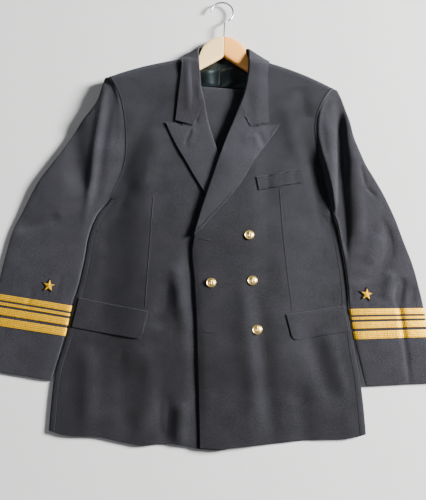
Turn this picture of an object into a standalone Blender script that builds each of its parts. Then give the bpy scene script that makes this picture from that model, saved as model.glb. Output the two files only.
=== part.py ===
"""A naval officer's suit: double-breasted jacket on a wooden hanger, with the trousers over its bar.

The suit lies on its back on a flat surface. Sizes are in millimetres and become metres in one
place. X runs to the wearer's left, Y from the hem to the collar, Z up from the surface.
"Left" and "right" are the wearer's. Cloth is a wall: an open surface with a Solidify modifier.
"""

import math

import bmesh
import bpy
import numpy as np
from mathutils import Vector

MM = 0.001

# The middle of the suit's box, which becomes the origin.
CENTRE_X = 3.0
CENTRE_Y = 445.5

# Cloth and gaps
WALL = 1.6
LINING_WALL = 0.9
LACE_WALL = 0.9
SEAM_GAP = 0.3
LAY_GAP = 0.9
LINING_GAP = 0.9

# Jacket heights
SIDE_Z = 7.2
CHEST_Z = 22.8
NECK_RISE = 7.0
SHOULDER_Z = 32.0
SHOULDER_ROUND = 18.0
SHOULDER_EDGE = 0.45
SHOULDER_BULGE = 5.5
NECK_LIFT = 2.4
NECK_BACK_Y = 766.0
NECK_HALF = 66.0
EDGE_SPLIT = 1.2
ARMHOLE_GAP = 0.4
HEAD_TIP_GAP = 1.5
HEAD_TIP_Z = 12.0
TIP_SHARE = 0.45
EDGE_ROUND = 9.0
SIDE_SEAM_IN = 12.0
SIDE_PANEL_UNDER = 42.0
UNDERARM_Y = 455.0
OVERLAP_STEP = 2.9
OVERLAP_END_X = 72.0
HIDDEN_LAPEL_LIFT = 3.3
LAPEL_STEP = 3.0
ROLL_RADIUS = 3.0
HIDDEN_ROLL_RADIUS = 2.05
COLLAR_RADIUS = 2.4
SHOULDER_LIFT = 1.2
BACK_HEM_SHORT = 3.0
UNDER_FRONT_SHOWS = 2.0
TIP_GAP = 1.3

# Trousers and hanger
TROUSERS_END_Y = 172.0
TROUSERS_Z = 19.6
TROUSERS_LOW = 2.1
TROUSERS_HALF = 118.0
KNEE_IN = 9.0
BAR_SLOPE = -0.045
BAR_Y = 685.5
BAR_Z = 13.0
BAR_RADIUS = 6.0
BAR_HALF = 170.0
TROUSERS_TURN = 8.5
HOOK_WIRE = 1.7
STEM_Z = 13.2
HOOK_STEM_Y = (796, 806, 818, 830, 838)
HOOK_BEND = (7.6, 843.4, 11.4)
HOOK_RING = (0.0, 867.0, 9.0)
HOOK_RING_RADIUS = 23.0
HANGER_MID_X = 6.0
# Hanger arm stations from the middle out: distance, upper edge y, lower edge y, middle z, depth.
ARM = (
    (0, 808, 760, 13.2, 11.6),
    (12, 806, 752, 13.2, 11.6),
    (24, 799, 744, 13.2, 11.6),
    (35, 790, 737, 13.2, 11.6),
    (43, 779, 732, 13.3, 11.6),
    (50, 762, 727, 13.6, 11.4),
    (70, 740, 716, 13.8, 11.0),
    (100, 734, 708, 13.6, 11.0),
    (130, 726, 698, 14.4, 11.5),
    (160, 713, 684, 15.6, 12.5),
    (185, 705, 677, 17.4, 13.0),
    (200, 698, 676, 18.8, 11.0),
    (205, 692, 682, 19.2, 6.0),
)
ARC_Y = 760.0
ARC_RADIUS = 48.5
ARM_SLOPE = {-1: 0.0, 1: 0.018}
ARM_STATIONS = (0, 9, 18, 27, 34, 40, 44, 47, 50, 58, 72, 100, 130, 160, 185, 200, 205)

# Trimmings: the button's profile is radius, height, from its middle round to its back.
STAR_RADIUS = 11.0
STAR_BACKING_RADIUS = 14.5
BUTTON_DOME = ((0, 3.9), (4.2, 3.4), (7.3, 2.3), (8.8, 1.3), (8.8, 0.5), (6.9, 0.0), (0, 0.0))
BUTTON_REACH = 7.0
REST_GAP = 0.35

# Numbers of columns and rows of the grids
FRONT_COLUMNS = 16
BACK_COLUMNS = 7
TOP_SLEEVE_COLUMNS = 10
UNDER_SLEEVE_COLUMNS = 9
LAPEL_ROWS = 12
POCKET_CELLS = (9, 4)
LINING_CELLS = (9, 6)
COLLAR_STATIONS = (0, 0.5, 1, 2, 3, 4, 4.4, 4.8, 5.2, 5.6, 6, 7, 8)

# Outer edge of the body where it isn't set by the sleeve beside it: y, right x, left x.
BODY_EDGE = (
    (0, -282, 290),
    (26, -282, 288),
    (80, -282, 284),
    (109, -281, 281),
    (137, -278, 278),
    (165, -271, 273),
    (195, -264.8, 267.6),
)
BESIDE_SLEEVE_Y = 195.0
BESIDE_SLEEVE_GAP = 0.9
BESIDE_LACE_GAP = 2.6

# Hem at the right and the left side seam, and the whole hem: x, y.
HEM_SIDE_Y = {-1: 21.0, 1: 31.0}
HEM = (
    (-285, 23),
    (-265, 17),
    (-187, 13),
    (-140, 5),
    (-120, 2),
    (-74, 7),
    (-10, 2),
    (33, 2),
    (60, 6),
    (99, 11),
    (171, 21),
    (229, 26),
    (263, 29),
    (290, 37),
)

# Front edge, roll line and neckline of the right front, which lies under: y, x.
RIGHT_FRONT_EDGE = (
    (0, 36),
    (150, 52),
    (300, 62),
    (380, 62),
    (415, 49),
    (450, 36),
    (485, 23),
    (520, 10),
    (554, -2),
    (586, -14),
    (615, -23),
    (648, -33),
    (686, -46),
    (717, -56.5),
    (754, -68.5),
)

# The same of the left front, which lies on top: y, x.
LEFT_FRONT_EDGE = (
    (0, -10),
    (151, -20),
    (245, -27),
    (305, -33),
    (363, -39),
    (384, -36),
    (425, -23),
    (470, -12),
    (504, 0),
    (544, 11),
    (580, 21),
    (616, 33),
    (649, 45),
    (686, 61),
    (717, 71.5),
    (756, 82.5),
)

# Sleeve stations, from shoulder to cuff: the inner point, the outer point and the top height.
RIGHT_SLEEVE = (
    (-219, 708, -231, 705, 16.6),
    (-205, 686, -235, 681, 27),
    (-193, 661, -240, 657, 29),
    (-185, 633, -252.5, 634, 28),
    (-180, 605, -268, 612, 26),
    (-177, 575, -280, 588, 24),
    (-177, 545, -301, 552, 22),
    (-181, 518, -321, 522, 19),
    (-190, 488, -342, 488, 17),
    (-203, 458, -355, 460, 15),
    (-226, 423, -369, 424, 13),
    (-239, 382, -384, 386, 11),
    (-244, 332, -393, 340, 10),
    (-251, 285, -399, 296, 9.5),
    (-260, 247, -403, 265, 8.8),
    (-268, 190, -407, 206, 8.6),
    (-285, 109, -411, 124, 7.0),
)
LEFT_SLEEVE = (
    (226, 701, 238, 697, 16.6),
    (210, 678, 246, 674, 27),
    (198, 653, 254, 650, 29),
    (191, 626, 262, 627, 28),
    (191, 598, 269, 600, 26),
    (196, 570, 280, 572, 24),
    (203, 543, 293, 543, 22),
    (210, 516, 309, 517, 19),
    (217, 488, 325, 489, 17),
    (224, 458, 339, 460, 15),
    (237, 425, 352, 430, 13),
    (244, 390, 365, 393, 11),
    (251, 350, 380, 352, 10),
    (256, 310, 390, 312, 9.5),
    (260, 261, 399, 268, 8.8),
    (269, 204, 406, 214, 8.6),
    (288, 121, 417, 132, 7.0),
)
CAP_END = 9
UNDER_LIFT = 1.7
# Where the back seam of a sleeve runs: station, turn round the ring.
BACK_SEAM = ((0, -0.30), (4, -0.25), (6, -0.18), (7, 0.0), (8, 0.18), (10, 0.25), (16, 0.31))
FOREARM_SEAM = 0.2
SLEEVE_ROWS = (0, 0.35, 1, 2, 3, 4, 5, 6, 7, 8, 9, 10, 11, 12, 13.2)

# Gold lace round each cuff: distance of its upper edge below the first, width.
LACE = ((0.0, 14.0), (17.5, 7.0), (28.0, 14.0), (46.0, 14.0))
LACE_TOP_STATION = 14
LACE_SPAN = 60.0
LACE_GAP = 0.75

# Collar stations from the right notch round the back to the left notch: roll edge, outer edge
# and neck seam, each x, y, z (None follows the front), and the turn of the fall in degrees.
COLLAR = (
    (-28, 648, 33.5, -84, 610, None, -31.5, 652, 25.5, 0),
    (-32, 667, 34.5, -82, 640, None, -38.5, 671, 26.5, 0),
    (-36, 690, 35.5, -80, 676, None, -46.0, 692, 27.0, 0),
    (-39, 717, 36.0, -78, 708, None, -54.0, 716, 27.0, 0),
    (-42, 744, 34.0, -77, 734, None, -62.0, 742, 24.5, 8),
    (-50, 778, 20.0, -80, 758, 14, -65.0, 759, 17, 90),
    (-43, 785, 2.4, -66, 746, 0.3, -53, 764, 6.3, 170),
    (-17, 788, 0.0, -30, 742, 0.0, -24, 769, 6.2, 180),
    (5, 789, 0.0, 5, 741, 0.0, 5, 770, 6.2, 180),
    (27, 788, 0.0, 42, 742, 0.0, 34, 769, 6.2, 180),
    (54, 785, 2.4, 82, 746, 0.3, 65, 764, 6.3, 170),
    (62, 778, 20.0, 100, 757, 14, 80, 759, 17, 90),
    (57, 744, 34.0, 98, 733, None, 77.5, 742, 24.5, 8),
    (56, 718, 36.0, 97, 706, None, 69.5, 716, 27.0, 0),
    (54, 697, 35.5, 98, 676, None, 62.5, 697, 27.0, 0),
    (49, 675, 34.5, 99, 645, None, 54.0, 678, 26.5, 0),
    (42, 651, 33.5, 100, 615, None, 44.5, 655, 25.5, 0),
)
FLAT_END = 4.8
RIGHT_NOTCH = (-48.5, 602.5)
LEFT_NOTCH = (65.0, 609.0)

# Lapel outlines: roll edge x, y and outer edge x, y, from the gorge to the break.
RIGHT_LAPEL = (
    (-27.5, 646, -106, 607),
    (-23, 630, -92, 584),
    (-16, 607, -76, 559),
    (-7, 580, -60, 534),
    (3, 554, -45, 509),
    (14, 523, -31, 487),
    (26, 491, -13, 462),
    (37, 460, 8, 436),
    (47, 430, 28, 414),
    (57, 403, 50, 398),
)
LEFT_LAPEL = (
    (41, 649, 120, 611),
    (33, 628, 104, 587),
    (24, 603, 88, 562),
    (14, 574, 70, 533),
    (5, 545, 51, 496),
    (-6, 507, 33, 470),
    (-16, 472, 13, 444),
    (-26, 436, -6, 421),
    (-34, 403, -25, 399),
    (-37.5, 388, -36, 386),
)
RIGHT_LAPEL_NOTCH = (-48.5, 600.5)
LEFT_LAPEL_NOTCH = (65.0, 606.5)

# Flaps and welt: the corners x, y, in the order top inner, top outer, bottom outer, bottom inner.
POCKETS = {
    "flap_right": ((-114.5, 240), (-243, 262), (-252, 207), (-124.5, 188)),
    "flap_left": ((138, 244), (250, 267), (258, 219), (152, 197)),
    "breast_welt": ((77, 505), (170, 528), (172, 501), (83, 479)),
}

# Buttons: name, x, y.
BUTTONS = (
    ("button_upper", 67, 390),
    ("button_middle", 75, 304),
    ("button_lower", 86, 214),
    ("button_right", -1, 297),
)
STARS = {"right": (-304, 282), "left": (291, 289)}

# Largest folds: from x, y to x, y, bow to the side, width and height (below 0 is a trough).
BODY_FOLDS = (
    (-111, 657, -175, 516, 0, 19, -4.0),
    (-132, 586, -143, 442, 0, 20, 2.0),
    (-73, 335, -44, 199, 0, 18, 1.6),
    (-160, 182, -150, 0, 6, 15, -2.5),
    (-122, 169, -124, -10, -8, 18, 6.0),
    (65, 353, 110, 54, -8, 18, 2.5),
    (144, 188, 118, 40, 6, 18, -2.0),
    (168, 189, 240, 72, 0, 18, 3.0),
    (216, 196, 258, 97, 0, 16, -1.5),
    (158, 697, 179, 621, 0, 15, -3.5),
    (195, 560, 222, 400, 0, 15, -2.5),
)
SLEEVE_FOLDS = (
    (-228, 684, -235, 361, 8, 8, 7.0),
    (-211, 665, -226, 400, 10, 11, -7.0),
    (-292, 416, -381, 389, 0, 15, -2.5),
    (212, 654, 228, 438, -8, 12, 4.0),
    (240, 675, 250, 345, 4, 11, -10.0),
    (270, 593, 279, 379, -4, 14, 4.0),
    (330, 429, 296, 380, 4, 12, -3.0),
    (342, 401, 302, 357, 6, 12, 4.0),
    (270, 318, 333, 359, 6, 12, -2.5),
    (342, 336, 327, 285, 0, 12, 2.5),
)

WOOL = (0.030, 0.031, 0.036, 1)
LINING = (0.020, 0.035, 0.032, 1)
GOLD = (0.62, 0.40, 0.12, 1)
BEECH = (0.74, 0.55, 0.36, 1)
STEEL = (0.75, 0.75, 0.76, 1)


def clear_scene():
    """Removes every object that the file starts with."""
    for obj in list(bpy.data.objects):
        bpy.data.objects.remove(obj, do_unlink=True)


def collection(name):
    """A new collection in the scene."""
    made = bpy.data.collections.new(name)
    bpy.context.scene.collection.children.link(made)
    return made


def finish(name, colour, roughness, metallic=0.0):
    """A Principled material of one colour."""
    material = bpy.data.materials.new(name)
    material.use_nodes = True
    shader = material.node_tree.nodes["Principled BSDF"]
    shader.inputs["Base Color"].default_value = colour
    shader.inputs["Roughness"].default_value = roughness
    shader.inputs["Metallic"].default_value = metallic
    material.diffuse_color = colour
    return material


def smooth_step(at, start, end):
    """0 before start, 1 after end, with level ends."""
    t = np.clip((np.asarray(at, float) - start) / (end - start), 0.0, 1.0)
    return t * t * (3.0 - 2.0 * t)


def curve(at, knots, values):
    """A smooth curve through the knots, each with the slope that its neighbours give."""
    knots = np.asarray(knots, float)
    values = np.asarray(values, float)
    slopes = np.gradient(values, knots)
    at = np.clip(at, knots[0], knots[-1])
    i = np.clip(np.searchsorted(knots, at) - 1, 0, len(knots) - 2)
    span = knots[i + 1] - knots[i]
    t = (at - knots[i]) / span
    start = (1 + 2 * t) * (1 - t) ** 2 * values[i] + t * (1 - t) ** 2 * span * slopes[i]
    end = t * t * (3 - 2 * t) * values[i + 1] - t * t * (1 - t) * span * slopes[i + 1]
    return start + end


def column(table, i):
    """One column of a table."""
    return np.array([row[i] for row in table], float)


def folds(x, y, table):
    """Height that the folds add: a bell across each fold's bowed line, fading at its two ends."""
    height = np.zeros(np.broadcast(x, y).shape)
    for x0, y0, x1, y1, bow, width, rise in table:
        length = math.hypot(x1 - x0, y1 - y0)
        along = ((x - x0) * (x1 - x0) + (y - y0) * (y1 - y0)) / length
        across = ((x - x0) * (y1 - y0) - (y - y0) * (x1 - x0)) / length
        t = np.clip(along / length, 0.0, 1.0)
        across = across - 4.0 * bow * t * (1.0 - t)
        past = np.maximum(np.maximum(-along, along - length), 0.0)
        fade = smooth_step(t, -0.05, 0.22) * smooth_step(1.0 - t, -0.05, 0.22)
        height += rise * fade * np.exp(-((across / width) ** 2) - (past / (2 * width)) ** 2)
    return height


def body_edge(y, side):
    """Outer edge of the body at a height: side is -1 for the right and 1 for the left.

    Beside a sleeve it follows the sleeve's inner edge.
    """
    low = curve(y, column(BODY_EDGE, 0), column(BODY_EDGE, 1 if side < 0 else 2))
    table = sleeve_table(side)[::-1]
    gap = BESIDE_LACE_GAP + (BESIDE_SLEEVE_GAP - BESIDE_LACE_GAP) * smooth_step(y, 262, 295)
    beside = curve(y, column(table, 1), column(table, 0)) - side * gap
    return np.where(np.asarray(y) > BESIDE_SLEEVE_Y, beside, low)


def sleeve_table(side):
    """The stations of the sleeve on a side."""
    return RIGHT_SLEEVE if side < 0 else LEFT_SLEEVE


def station(side, v, i):
    """One column of the sleeve's stations, at a station that may lie between two rows."""
    table = sleeve_table(side)
    return curve(v, np.arange(len(table)), column(table, i))


def shoulder_line(x):
    """Height of the shoulder's edge over a place across, on the side that the place is on."""
    right_tip = RIGHT_SLEEVE[0]
    left_tip = LEFT_SLEEVE[0]
    right_neck = RIGHT_FRONT_EDGE[-1]
    left_neck = LEFT_FRONT_EDGE[-1]
    x = np.asarray(x, float)
    right_t = np.clip((x - right_neck[1]) / (right_tip[0] - right_neck[1]), 0, 1)
    left_t = np.clip((x - left_neck[1]) / (left_tip[0] - left_neck[1]), 0, 1)
    right_y = right_neck[0] + right_t * (right_tip[1] - right_neck[0])
    left_y = left_neck[0] + left_t * (left_tip[1] - left_neck[0])
    right_y = right_y + SHOULDER_BULGE * 4 * right_t * (1 - right_t)
    left_y = left_y + SHOULDER_BULGE * 4 * left_t * (1 - left_t)
    return np.where(x < 0, right_y, left_y)


def level(x, y):
    """Height of the jacket's front before folds and edges: low sides, chest and shoulders up."""
    shoulders = SIDE_Z + (SHOULDER_Z - SIDE_Z) * smooth_step(y, 430, 680)
    middle = CHEST_Z + NECK_RISE * smooth_step(y, 560, 700)
    share = smooth_step(-np.abs(x), -212, -122) * smooth_step(y, 96, 172)
    return shoulders + (middle - shoulders) * share


def shoulder_edge_z(x, y):
    """Height of the shoulder seam, where front and back meet."""
    return SHOULDER_EDGE * level(x, y)


def front(x, y):
    """Outer surface of the right front, and of the left one where it isn't doubled."""
    height = level(x, y)
    calm = smooth_step(np.abs(x), 20, 60)
    height = height + folds(x, y, BODY_FOLDS) * calm * edge_share(x, y)
    drop = np.clip(1 - (shoulder_line(x) - y) / SHOULDER_ROUND, 0, 1)
    edge = shoulder_edge_z(x, y)
    return edge + (height - edge) * np.sqrt(1 - drop * drop)


def edge_share(x, y):
    """1 inside the body, 0 at its sides, so that folds end before the side seam."""
    side = np.where(np.asarray(x) < 0, -body_edge(y, -1), body_edge(y, 1))
    side = np.where(np.asarray(y) > UNDERARM_Y, 400.0, side)
    return smooth_step(side - np.abs(x), SIDE_SEAM_IN, SIDE_SEAM_IN + 26)


def doubled(x, y):
    """How far the left front lies above the right one: two walls where they overlap."""
    over = 1 - smooth_step(x, OVERLAP_END_X, OVERLAP_END_X + 34)
    lapel_under = smooth_step(y, 350, 398) * (1 - smooth_step(y, 560, 640))
    lapel_under = lapel_under * (1 - smooth_step(np.abs(x - 20), 42, 84))
    return OVERLAP_STEP * over + HIDDEN_LAPEL_LIFT * lapel_under


def left_front(x, y):
    """Outer surface of the left front."""
    return front(x, y) + doubled(x, y)


def back(x, y):
    """Outer, lower surface of the back: on the floor, lifted at the neck and at the shoulders."""
    near = np.clip(1 - (shoulder_line(x) - y) / SHOULDER_ROUND, 0, 1)
    outside = smooth_step(np.abs(x - 5), 58, 90)
    rise = shoulder_edge_z(x, y) * (1 - np.sqrt(1 - near * near))
    neck = NECK_LIFT * smooth_step(y, 690, 726)
    return rise * outside + neck * (1 - outside) + neck * outside * (1 - near)


def sleeve(side, v, turn, out=0.0):
    """A point of a sleeve's skin, or of a skin that lies further out.

    v is the station. turn goes round the ring: 0 at the outer edge, 1 at the inner edge over
    the top, and below 0 underneath. Each half is a flattened arch, and the head is open where
    it meets the armhole, at the heights of the front and of the back there.
    """
    turn = np.where(turn > 1, turn - 2, turn)
    share = (1 + np.cos(np.pi * turn)) / 2
    in_x, in_y, out_x, out_y, top = (station(side, v, i) for i in range(5))
    in_x = in_x + side * (ARMHOLE_GAP + HEAD_TIP_GAP * (1 - smooth_step(v, 0, 1)))
    tip = TIP_SHARE * top
    in_x, out_x, top = in_x - side * out, out_x + side * out, top + out
    x = in_x + (out_x - in_x) * share
    y = in_y + (out_y - in_y) * share
    open_head = 1 - smooth_step(v, CAP_END, CAP_END + 1)
    arch = (1 - np.abs(2 * share - 1) ** 4) ** 0.25
    arch = np.where(share < 0.5, open_head + (1 - open_head) * arch, arch)
    seat = smooth_step(share, 0, 0.35)
    upper = front(in_x, in_y) * (1 - seat) + top * seat
    upper = np.where(open_head > 0, upper * open_head + top * (1 - open_head), top)
    upper = upper + folds(x, y, SLEEVE_FOLDS) * seat * smooth_step(v, 0.5, 1.5)
    lace_lift = smooth_step(v, 13.0, 13.8) * (1 - smooth_step(v, 15.2, 15.7))
    lower = UNDER_LIFT * lace_lift - out
    head_close = 1 - smooth_step(v, 0, 1.0)
    lower = lower + (back(in_x, in_y) * (1 - seat) + HEAD_TIP_Z * seat - EDGE_SPLIT) * head_close
    upper = upper + EDGE_SPLIT * head_close
    z = np.where(turn >= 0, tip + (upper - tip) * arch, tip - (tip - lower) * arch)
    return np.stack(np.broadcast_arrays(x, y, z), axis=-1)


def grid_object(name, points, material, wall, wrap=False, up=None):
    """An object from a grid of points in millimetres, with a wall on its inner side.

    up says whether the outer skin faces up (True) or down (False); the faces are turned to it.
    """
    rows, columns = points.shape[:2]
    index = np.arange(rows * columns).reshape(rows, columns)
    if wrap:
        index = np.concatenate([index, index[:, :1]], axis=1)
    quads = np.stack([index[:-1, :-1], index[:-1, 1:], index[1:, 1:], index[1:, :-1]], -1)
    flat = points.reshape(-1, 3)
    if up is not None:
        corner = flat[quads.reshape(-1, 4)]
        normal = np.cross(corner[:, 2] - corner[:, 0], corner[:, 3] - corner[:, 1])
        if (normal[:, 2].sum() > 0) != up:
            quads = quads[..., ::-1]
    shifted = (flat - (CENTRE_X, CENTRE_Y, 0)) * MM
    mesh = bpy.data.meshes.new(name)
    mesh.from_pydata(shifted.tolist(), [], quads.reshape(-1, 4).tolist())
    obj = bpy.data.objects.new(name, mesh)
    mesh.materials.append(material)
    if wall:
        solid = obj.modifiers.new("wall", "SOLIDIFY")
        solid.thickness = wall * MM
        solid.offset = -1
    SUIT.objects.link(obj)
    return obj


def lower_rows(side):
    """Heights of the rows from the hem at the side seam to the underarm."""
    return np.array([HEM_SIDE_Y[side], 58, 92, 128, 164, 200, 236, 272, 310, 350, 390, 425, UNDERARM_Y])


def panel_rows(side, gap):
    """Outer ends of a front's or back's rows: side seam, then armhole, from hem to shoulder."""
    low = lower_rows(side)
    seam_x = body_edge(low, side) - side * (SIDE_SEAM_IN + gap)
    v = np.array(SLEEVE_ROWS[: SLEEVE_ROWS.index(CAP_END) + 1][::-1], float)
    high_x = station(side, v, 0) - side * gap
    high_y = station(side, v, 1)
    return np.concatenate([seam_x, high_x]), np.concatenate([low, high_y])


def front_panel(name, side, edge_table, surface):
    """One front: rows run from its front edge or roll line to the side seam or armhole."""
    out_x, out_y = panel_rows(side, SEAM_GAP / 2)
    share = (out_y - out_y[0]) / (out_y[-1] - out_y[0])
    inner_y = share * edge_table[-1][0]
    inner_x = curve(inner_y, column(edge_table, 0), column(edge_table, 1))
    u = np.linspace(0, 1, FRONT_COLUMNS)[None, :]
    x = inner_x[:, None] + (out_x - inner_x)[:, None] * u
    bulge = SHOULDER_BULGE * 4 * u * (1 - u) * share[:, None] ** 6
    y = inner_y[:, None] + (out_y - inner_y)[:, None] * u + bulge
    hem = curve(x[0], column(HEM, 0), column(HEM, 1))
    if side < 0:
        hem = hem - UNDER_FRONT_SHOWS * smooth_step(x[0], -30, -10)
    y = y + (hem - y[0])[None, :] * (1 - share[:, None]) ** 4
    z = surface(x, y)
    z[-1] = shoulder_edge_z(x[-1], y[-1]) + EDGE_SPLIT + z[-1] - front(x[-1], y[-1])
    return grid_object(name, np.stack([x, y, z], -1), WOOL_FINISH, WALL, up=True)


def back_panel(name, side):
    """One half of the back, from the centre seam to the side panel and the armhole."""
    out_x, out_y = panel_rows(side, SEAM_GAP / 2)
    low = out_y <= UNDERARM_Y
    under = SIDE_PANEL_UNDER - SIDE_SEAM_IN
    ease = 1 - smooth_step(out_y, 400, UNDERARM_Y)
    out_x = np.where(low, out_x - side * under * np.maximum(ease, 0.15), out_x)
    share = (out_y - out_y[0]) / (out_y[-1] - out_y[0])
    inner_y = share * NECK_BACK_Y
    u = np.linspace(0, 1, BACK_COLUMNS)[None, :] ** 0.9
    seam_x = HANGER_MID_X - 2 + side * SEAM_GAP / 2
    x = seam_x + (out_x[:, None] - seam_x) * u
    y = inner_y[:, None] + (out_y - inner_y)[:, None] * u
    hem = curve(x[0], column(HEM, 0), column(HEM, 1)) + BACK_HEM_SHORT
    y = y + (hem - y[0])[None, :] * (1 - share[:, None]) ** 4
    shoulder = np.abs(x[-1] - HANGER_MID_X) > NECK_HALF
    top = np.where(shoulder, shoulder_line(x[-1]), y[-1])
    y = y + (top - y[-1])[None, :] * share[:, None] ** 6
    z = back(x, y)
    z[-1] = z[-1] - EDGE_SPLIT * shoulder
    return grid_object(name, np.stack([x, y, z], -1), WOOL_FINISH, WALL, up=False)


def side_panel(name, side):
    """The narrow panel that turns round the body's side: over the edge and back underneath."""
    low = lower_rows(side)
    edge = body_edge(low, side)
    angle = np.radians(np.linspace(90, -90, 7))[None, :]
    top = front(edge - side * SIDE_SEAM_IN, low)[:, None]
    round_x = edge[:, None] - side * EDGE_ROUND * (1 - np.cos(angle))
    round_z = top / 2 + top / 2 * np.sin(angle)
    seam = edge - side * (SIDE_SEAM_IN - SEAM_GAP / 2)
    ease = np.maximum(1 - smooth_step(low, 400, UNDERARM_Y), 0.15)
    under = edge - side * (SIDE_SEAM_IN + (SIDE_PANEL_UNDER - SIDE_SEAM_IN) * ease - SEAM_GAP)
    x = np.concatenate([seam[:, None], round_x, under[:, None]], axis=1)
    z = np.concatenate([top, round_z, 0 * top], axis=1)
    y = np.broadcast_to(low[:, None], x.shape).copy()
    hem = curve(x[0], column(HEM, 0), column(HEM, 1))
    y[0] = np.minimum(hem, y[1] - EDGE_ROUND)
    obj = grid_object(name, np.stack([x, y, z], -1), WOOL_FINISH, WALL)
    face_outwards(obj)
    return obj


def face_outwards(obj):
    """Turns the faces of a piece that bends round its own middle, so that they face out."""
    middle = np.mean([vertex.co[:] for vertex in obj.data.vertices], axis=0)
    total = 0.0
    for face in obj.data.polygons:
        total += float(np.dot(np.array(face.center) - middle, face.normal)) * face.area
    if total < 0:
        obj.data.flip_normals()


def sleeve_rows():
    """Stations of a sleeve's rows, with one at each edge of the lace."""
    lace = [LACE_TOP_STATION + at / LACE_SPAN for top, width in LACE for at in (top, top + width)]
    return np.array(list(SLEEVE_ROWS) + lace + [15.5, 16.0])


def ring_turns(v, under):
    """Places round the ring where a sleeve half has its points, a row for each station."""
    seam = curve(v, column(BACK_SEAM, 0), column(BACK_SEAM, 1))[:, None]
    forearm = FOREARM_SEAM * smooth_step(v, CAP_END, CAP_END + 1)[:, None]
    t = np.linspace(0, 1, UNDER_SLEEVE_COLUMNS if under else TOP_SLEEVE_COLUMNS)[None, :]
    if under:
        return (-1 + forearm) + (seam + 1 - forearm) * t
    return seam + (1 + forearm - seam) * t


def pull_in(points, first, last):
    """Shortens a grid at its first and last columns by a gap for each row, for the seams."""
    start = points[:, 1] - points[:, 0]
    end = points[:, -2] - points[:, -1]
    points[:, 0] += start / np.linalg.norm(start, axis=1, keepdims=True) * first[:, None]
    points[:, -1] += end / np.linalg.norm(end, axis=1, keepdims=True) * last[:, None]
    return points


def sleeve_half(name, side, under):
    """The top sleeve or the under sleeve."""
    v = sleeve_rows()
    points = sleeve(side, v[:, None], ring_turns(v, under))
    at_tip = 1 - smooth_step(np.abs(curve(v, column(BACK_SEAM, 0), column(BACK_SEAM, 1))), 0.1, 0.2)
    closing = 1 - smooth_step(v, CAP_END + 1, CAP_END + 2)
    back_gap = SEAM_GAP + TIP_GAP * at_tip
    front_gap = SEAM_GAP + TIP_GAP * closing * smooth_step(v, CAP_END - 1, CAP_END)
    first, last = (front_gap, back_gap) if under else (back_gap, front_gap)
    return grid_object(name, pull_in(points, first, last), WOOL_FINISH, WALL, up=not under)


def lace_band(name, side, top, width):
    """A band of gold lace round the cuff, made from the sleeve's points moved out."""
    ends = np.array([top, top + width]) / LACE_SPAN + LACE_TOP_STATION
    upper = ring_turns(ends, False)[:, :-1]
    lower = ring_turns(ends, True)[:, :-1]
    turns = np.concatenate([lower, upper], axis=1)
    turns = np.where(turns > 1, turns - 2, turns)
    moved = sleeve(side, ends[:, None], turns, LACE_WALL + LACE_GAP)
    obj = grid_object(name, moved, LACE_FINISH, LACE_WALL, wrap=True)
    face_outwards(obj)
    return obj


def bent(start, end, notch, share, fade):
    """Points from start to end, pulled through the notch by the share fade."""
    line = start + (end - start) * share
    first = np.linalg.norm(notch - start) / (
        np.linalg.norm(notch - start) + np.linalg.norm(end - notch)
    )
    pull = notch - (start + (end - start) * first)
    hat = np.where(share < first, share / first, (1 - share) / (1 - first))
    return line + pull * hat * fade


def lapel(name, table, notch, surface, hidden_from):
    """A lapel: a half round at the roll line, then a leaf that settles on its front."""
    knots = np.arange(len(table))
    at = np.linspace(0, len(table) - 1, LAPEL_ROWS)
    roll = np.stack([curve(at, knots, column(table, i)) for i in (0, 1)], -1)
    edge = np.stack([curve(at, knots, column(table, i)) for i in (2, 3)], -1)
    shares = np.array([0.0, 0.12, 0.3, 0.476, 0.72, 1.0])
    rows = []
    for i, (start, end) in enumerate(zip(roll, edge)):
        away = (start - end) / np.linalg.norm(start - end)
        radius = ROLL_RADIUS if start[1] > hidden_from else HIDDEN_ROLL_RADIUS
        seat = start - away * radius
        base = surface(seat[0] - away[0] * 3, seat[1] - away[1] * 3) - WALL
        row = []
        for angle in np.radians((-90, -45, 0, 45)):
            place = seat + away * radius * math.cos(angle)
            row.append((*place, base + radius + radius * math.sin(angle)))
        for share in shares:
            place = bent(seat, end, np.array(notch), share, max(0.0, 1 - i / 3))
            settle = math.exp(-((share * np.linalg.norm(end - start) / 22) ** 2))
            lift = LAPEL_STEP + (2 * radius - WALL - LAPEL_STEP) * settle
            row.append((*place, float(surface(place[0], place[1])) + lift))
        rows.append(row)
    return grid_object(name, np.array(rows, float), WOOL_FINISH, WALL, up=True)


def collar_columns():
    """The collar's table as numbers, with its outer edge seated on the fronts."""
    rows = []
    for i, row in enumerate(COLLAR):
        surface = front if i < len(COLLAR) / 2 else left_front
        seated = float(surface(row[3], row[4])) + LAPEL_STEP if row[5] is None else row[5]
        rows.append((*row[:5], seated, *row[6:]))
    return np.array(rows, float)


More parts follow.
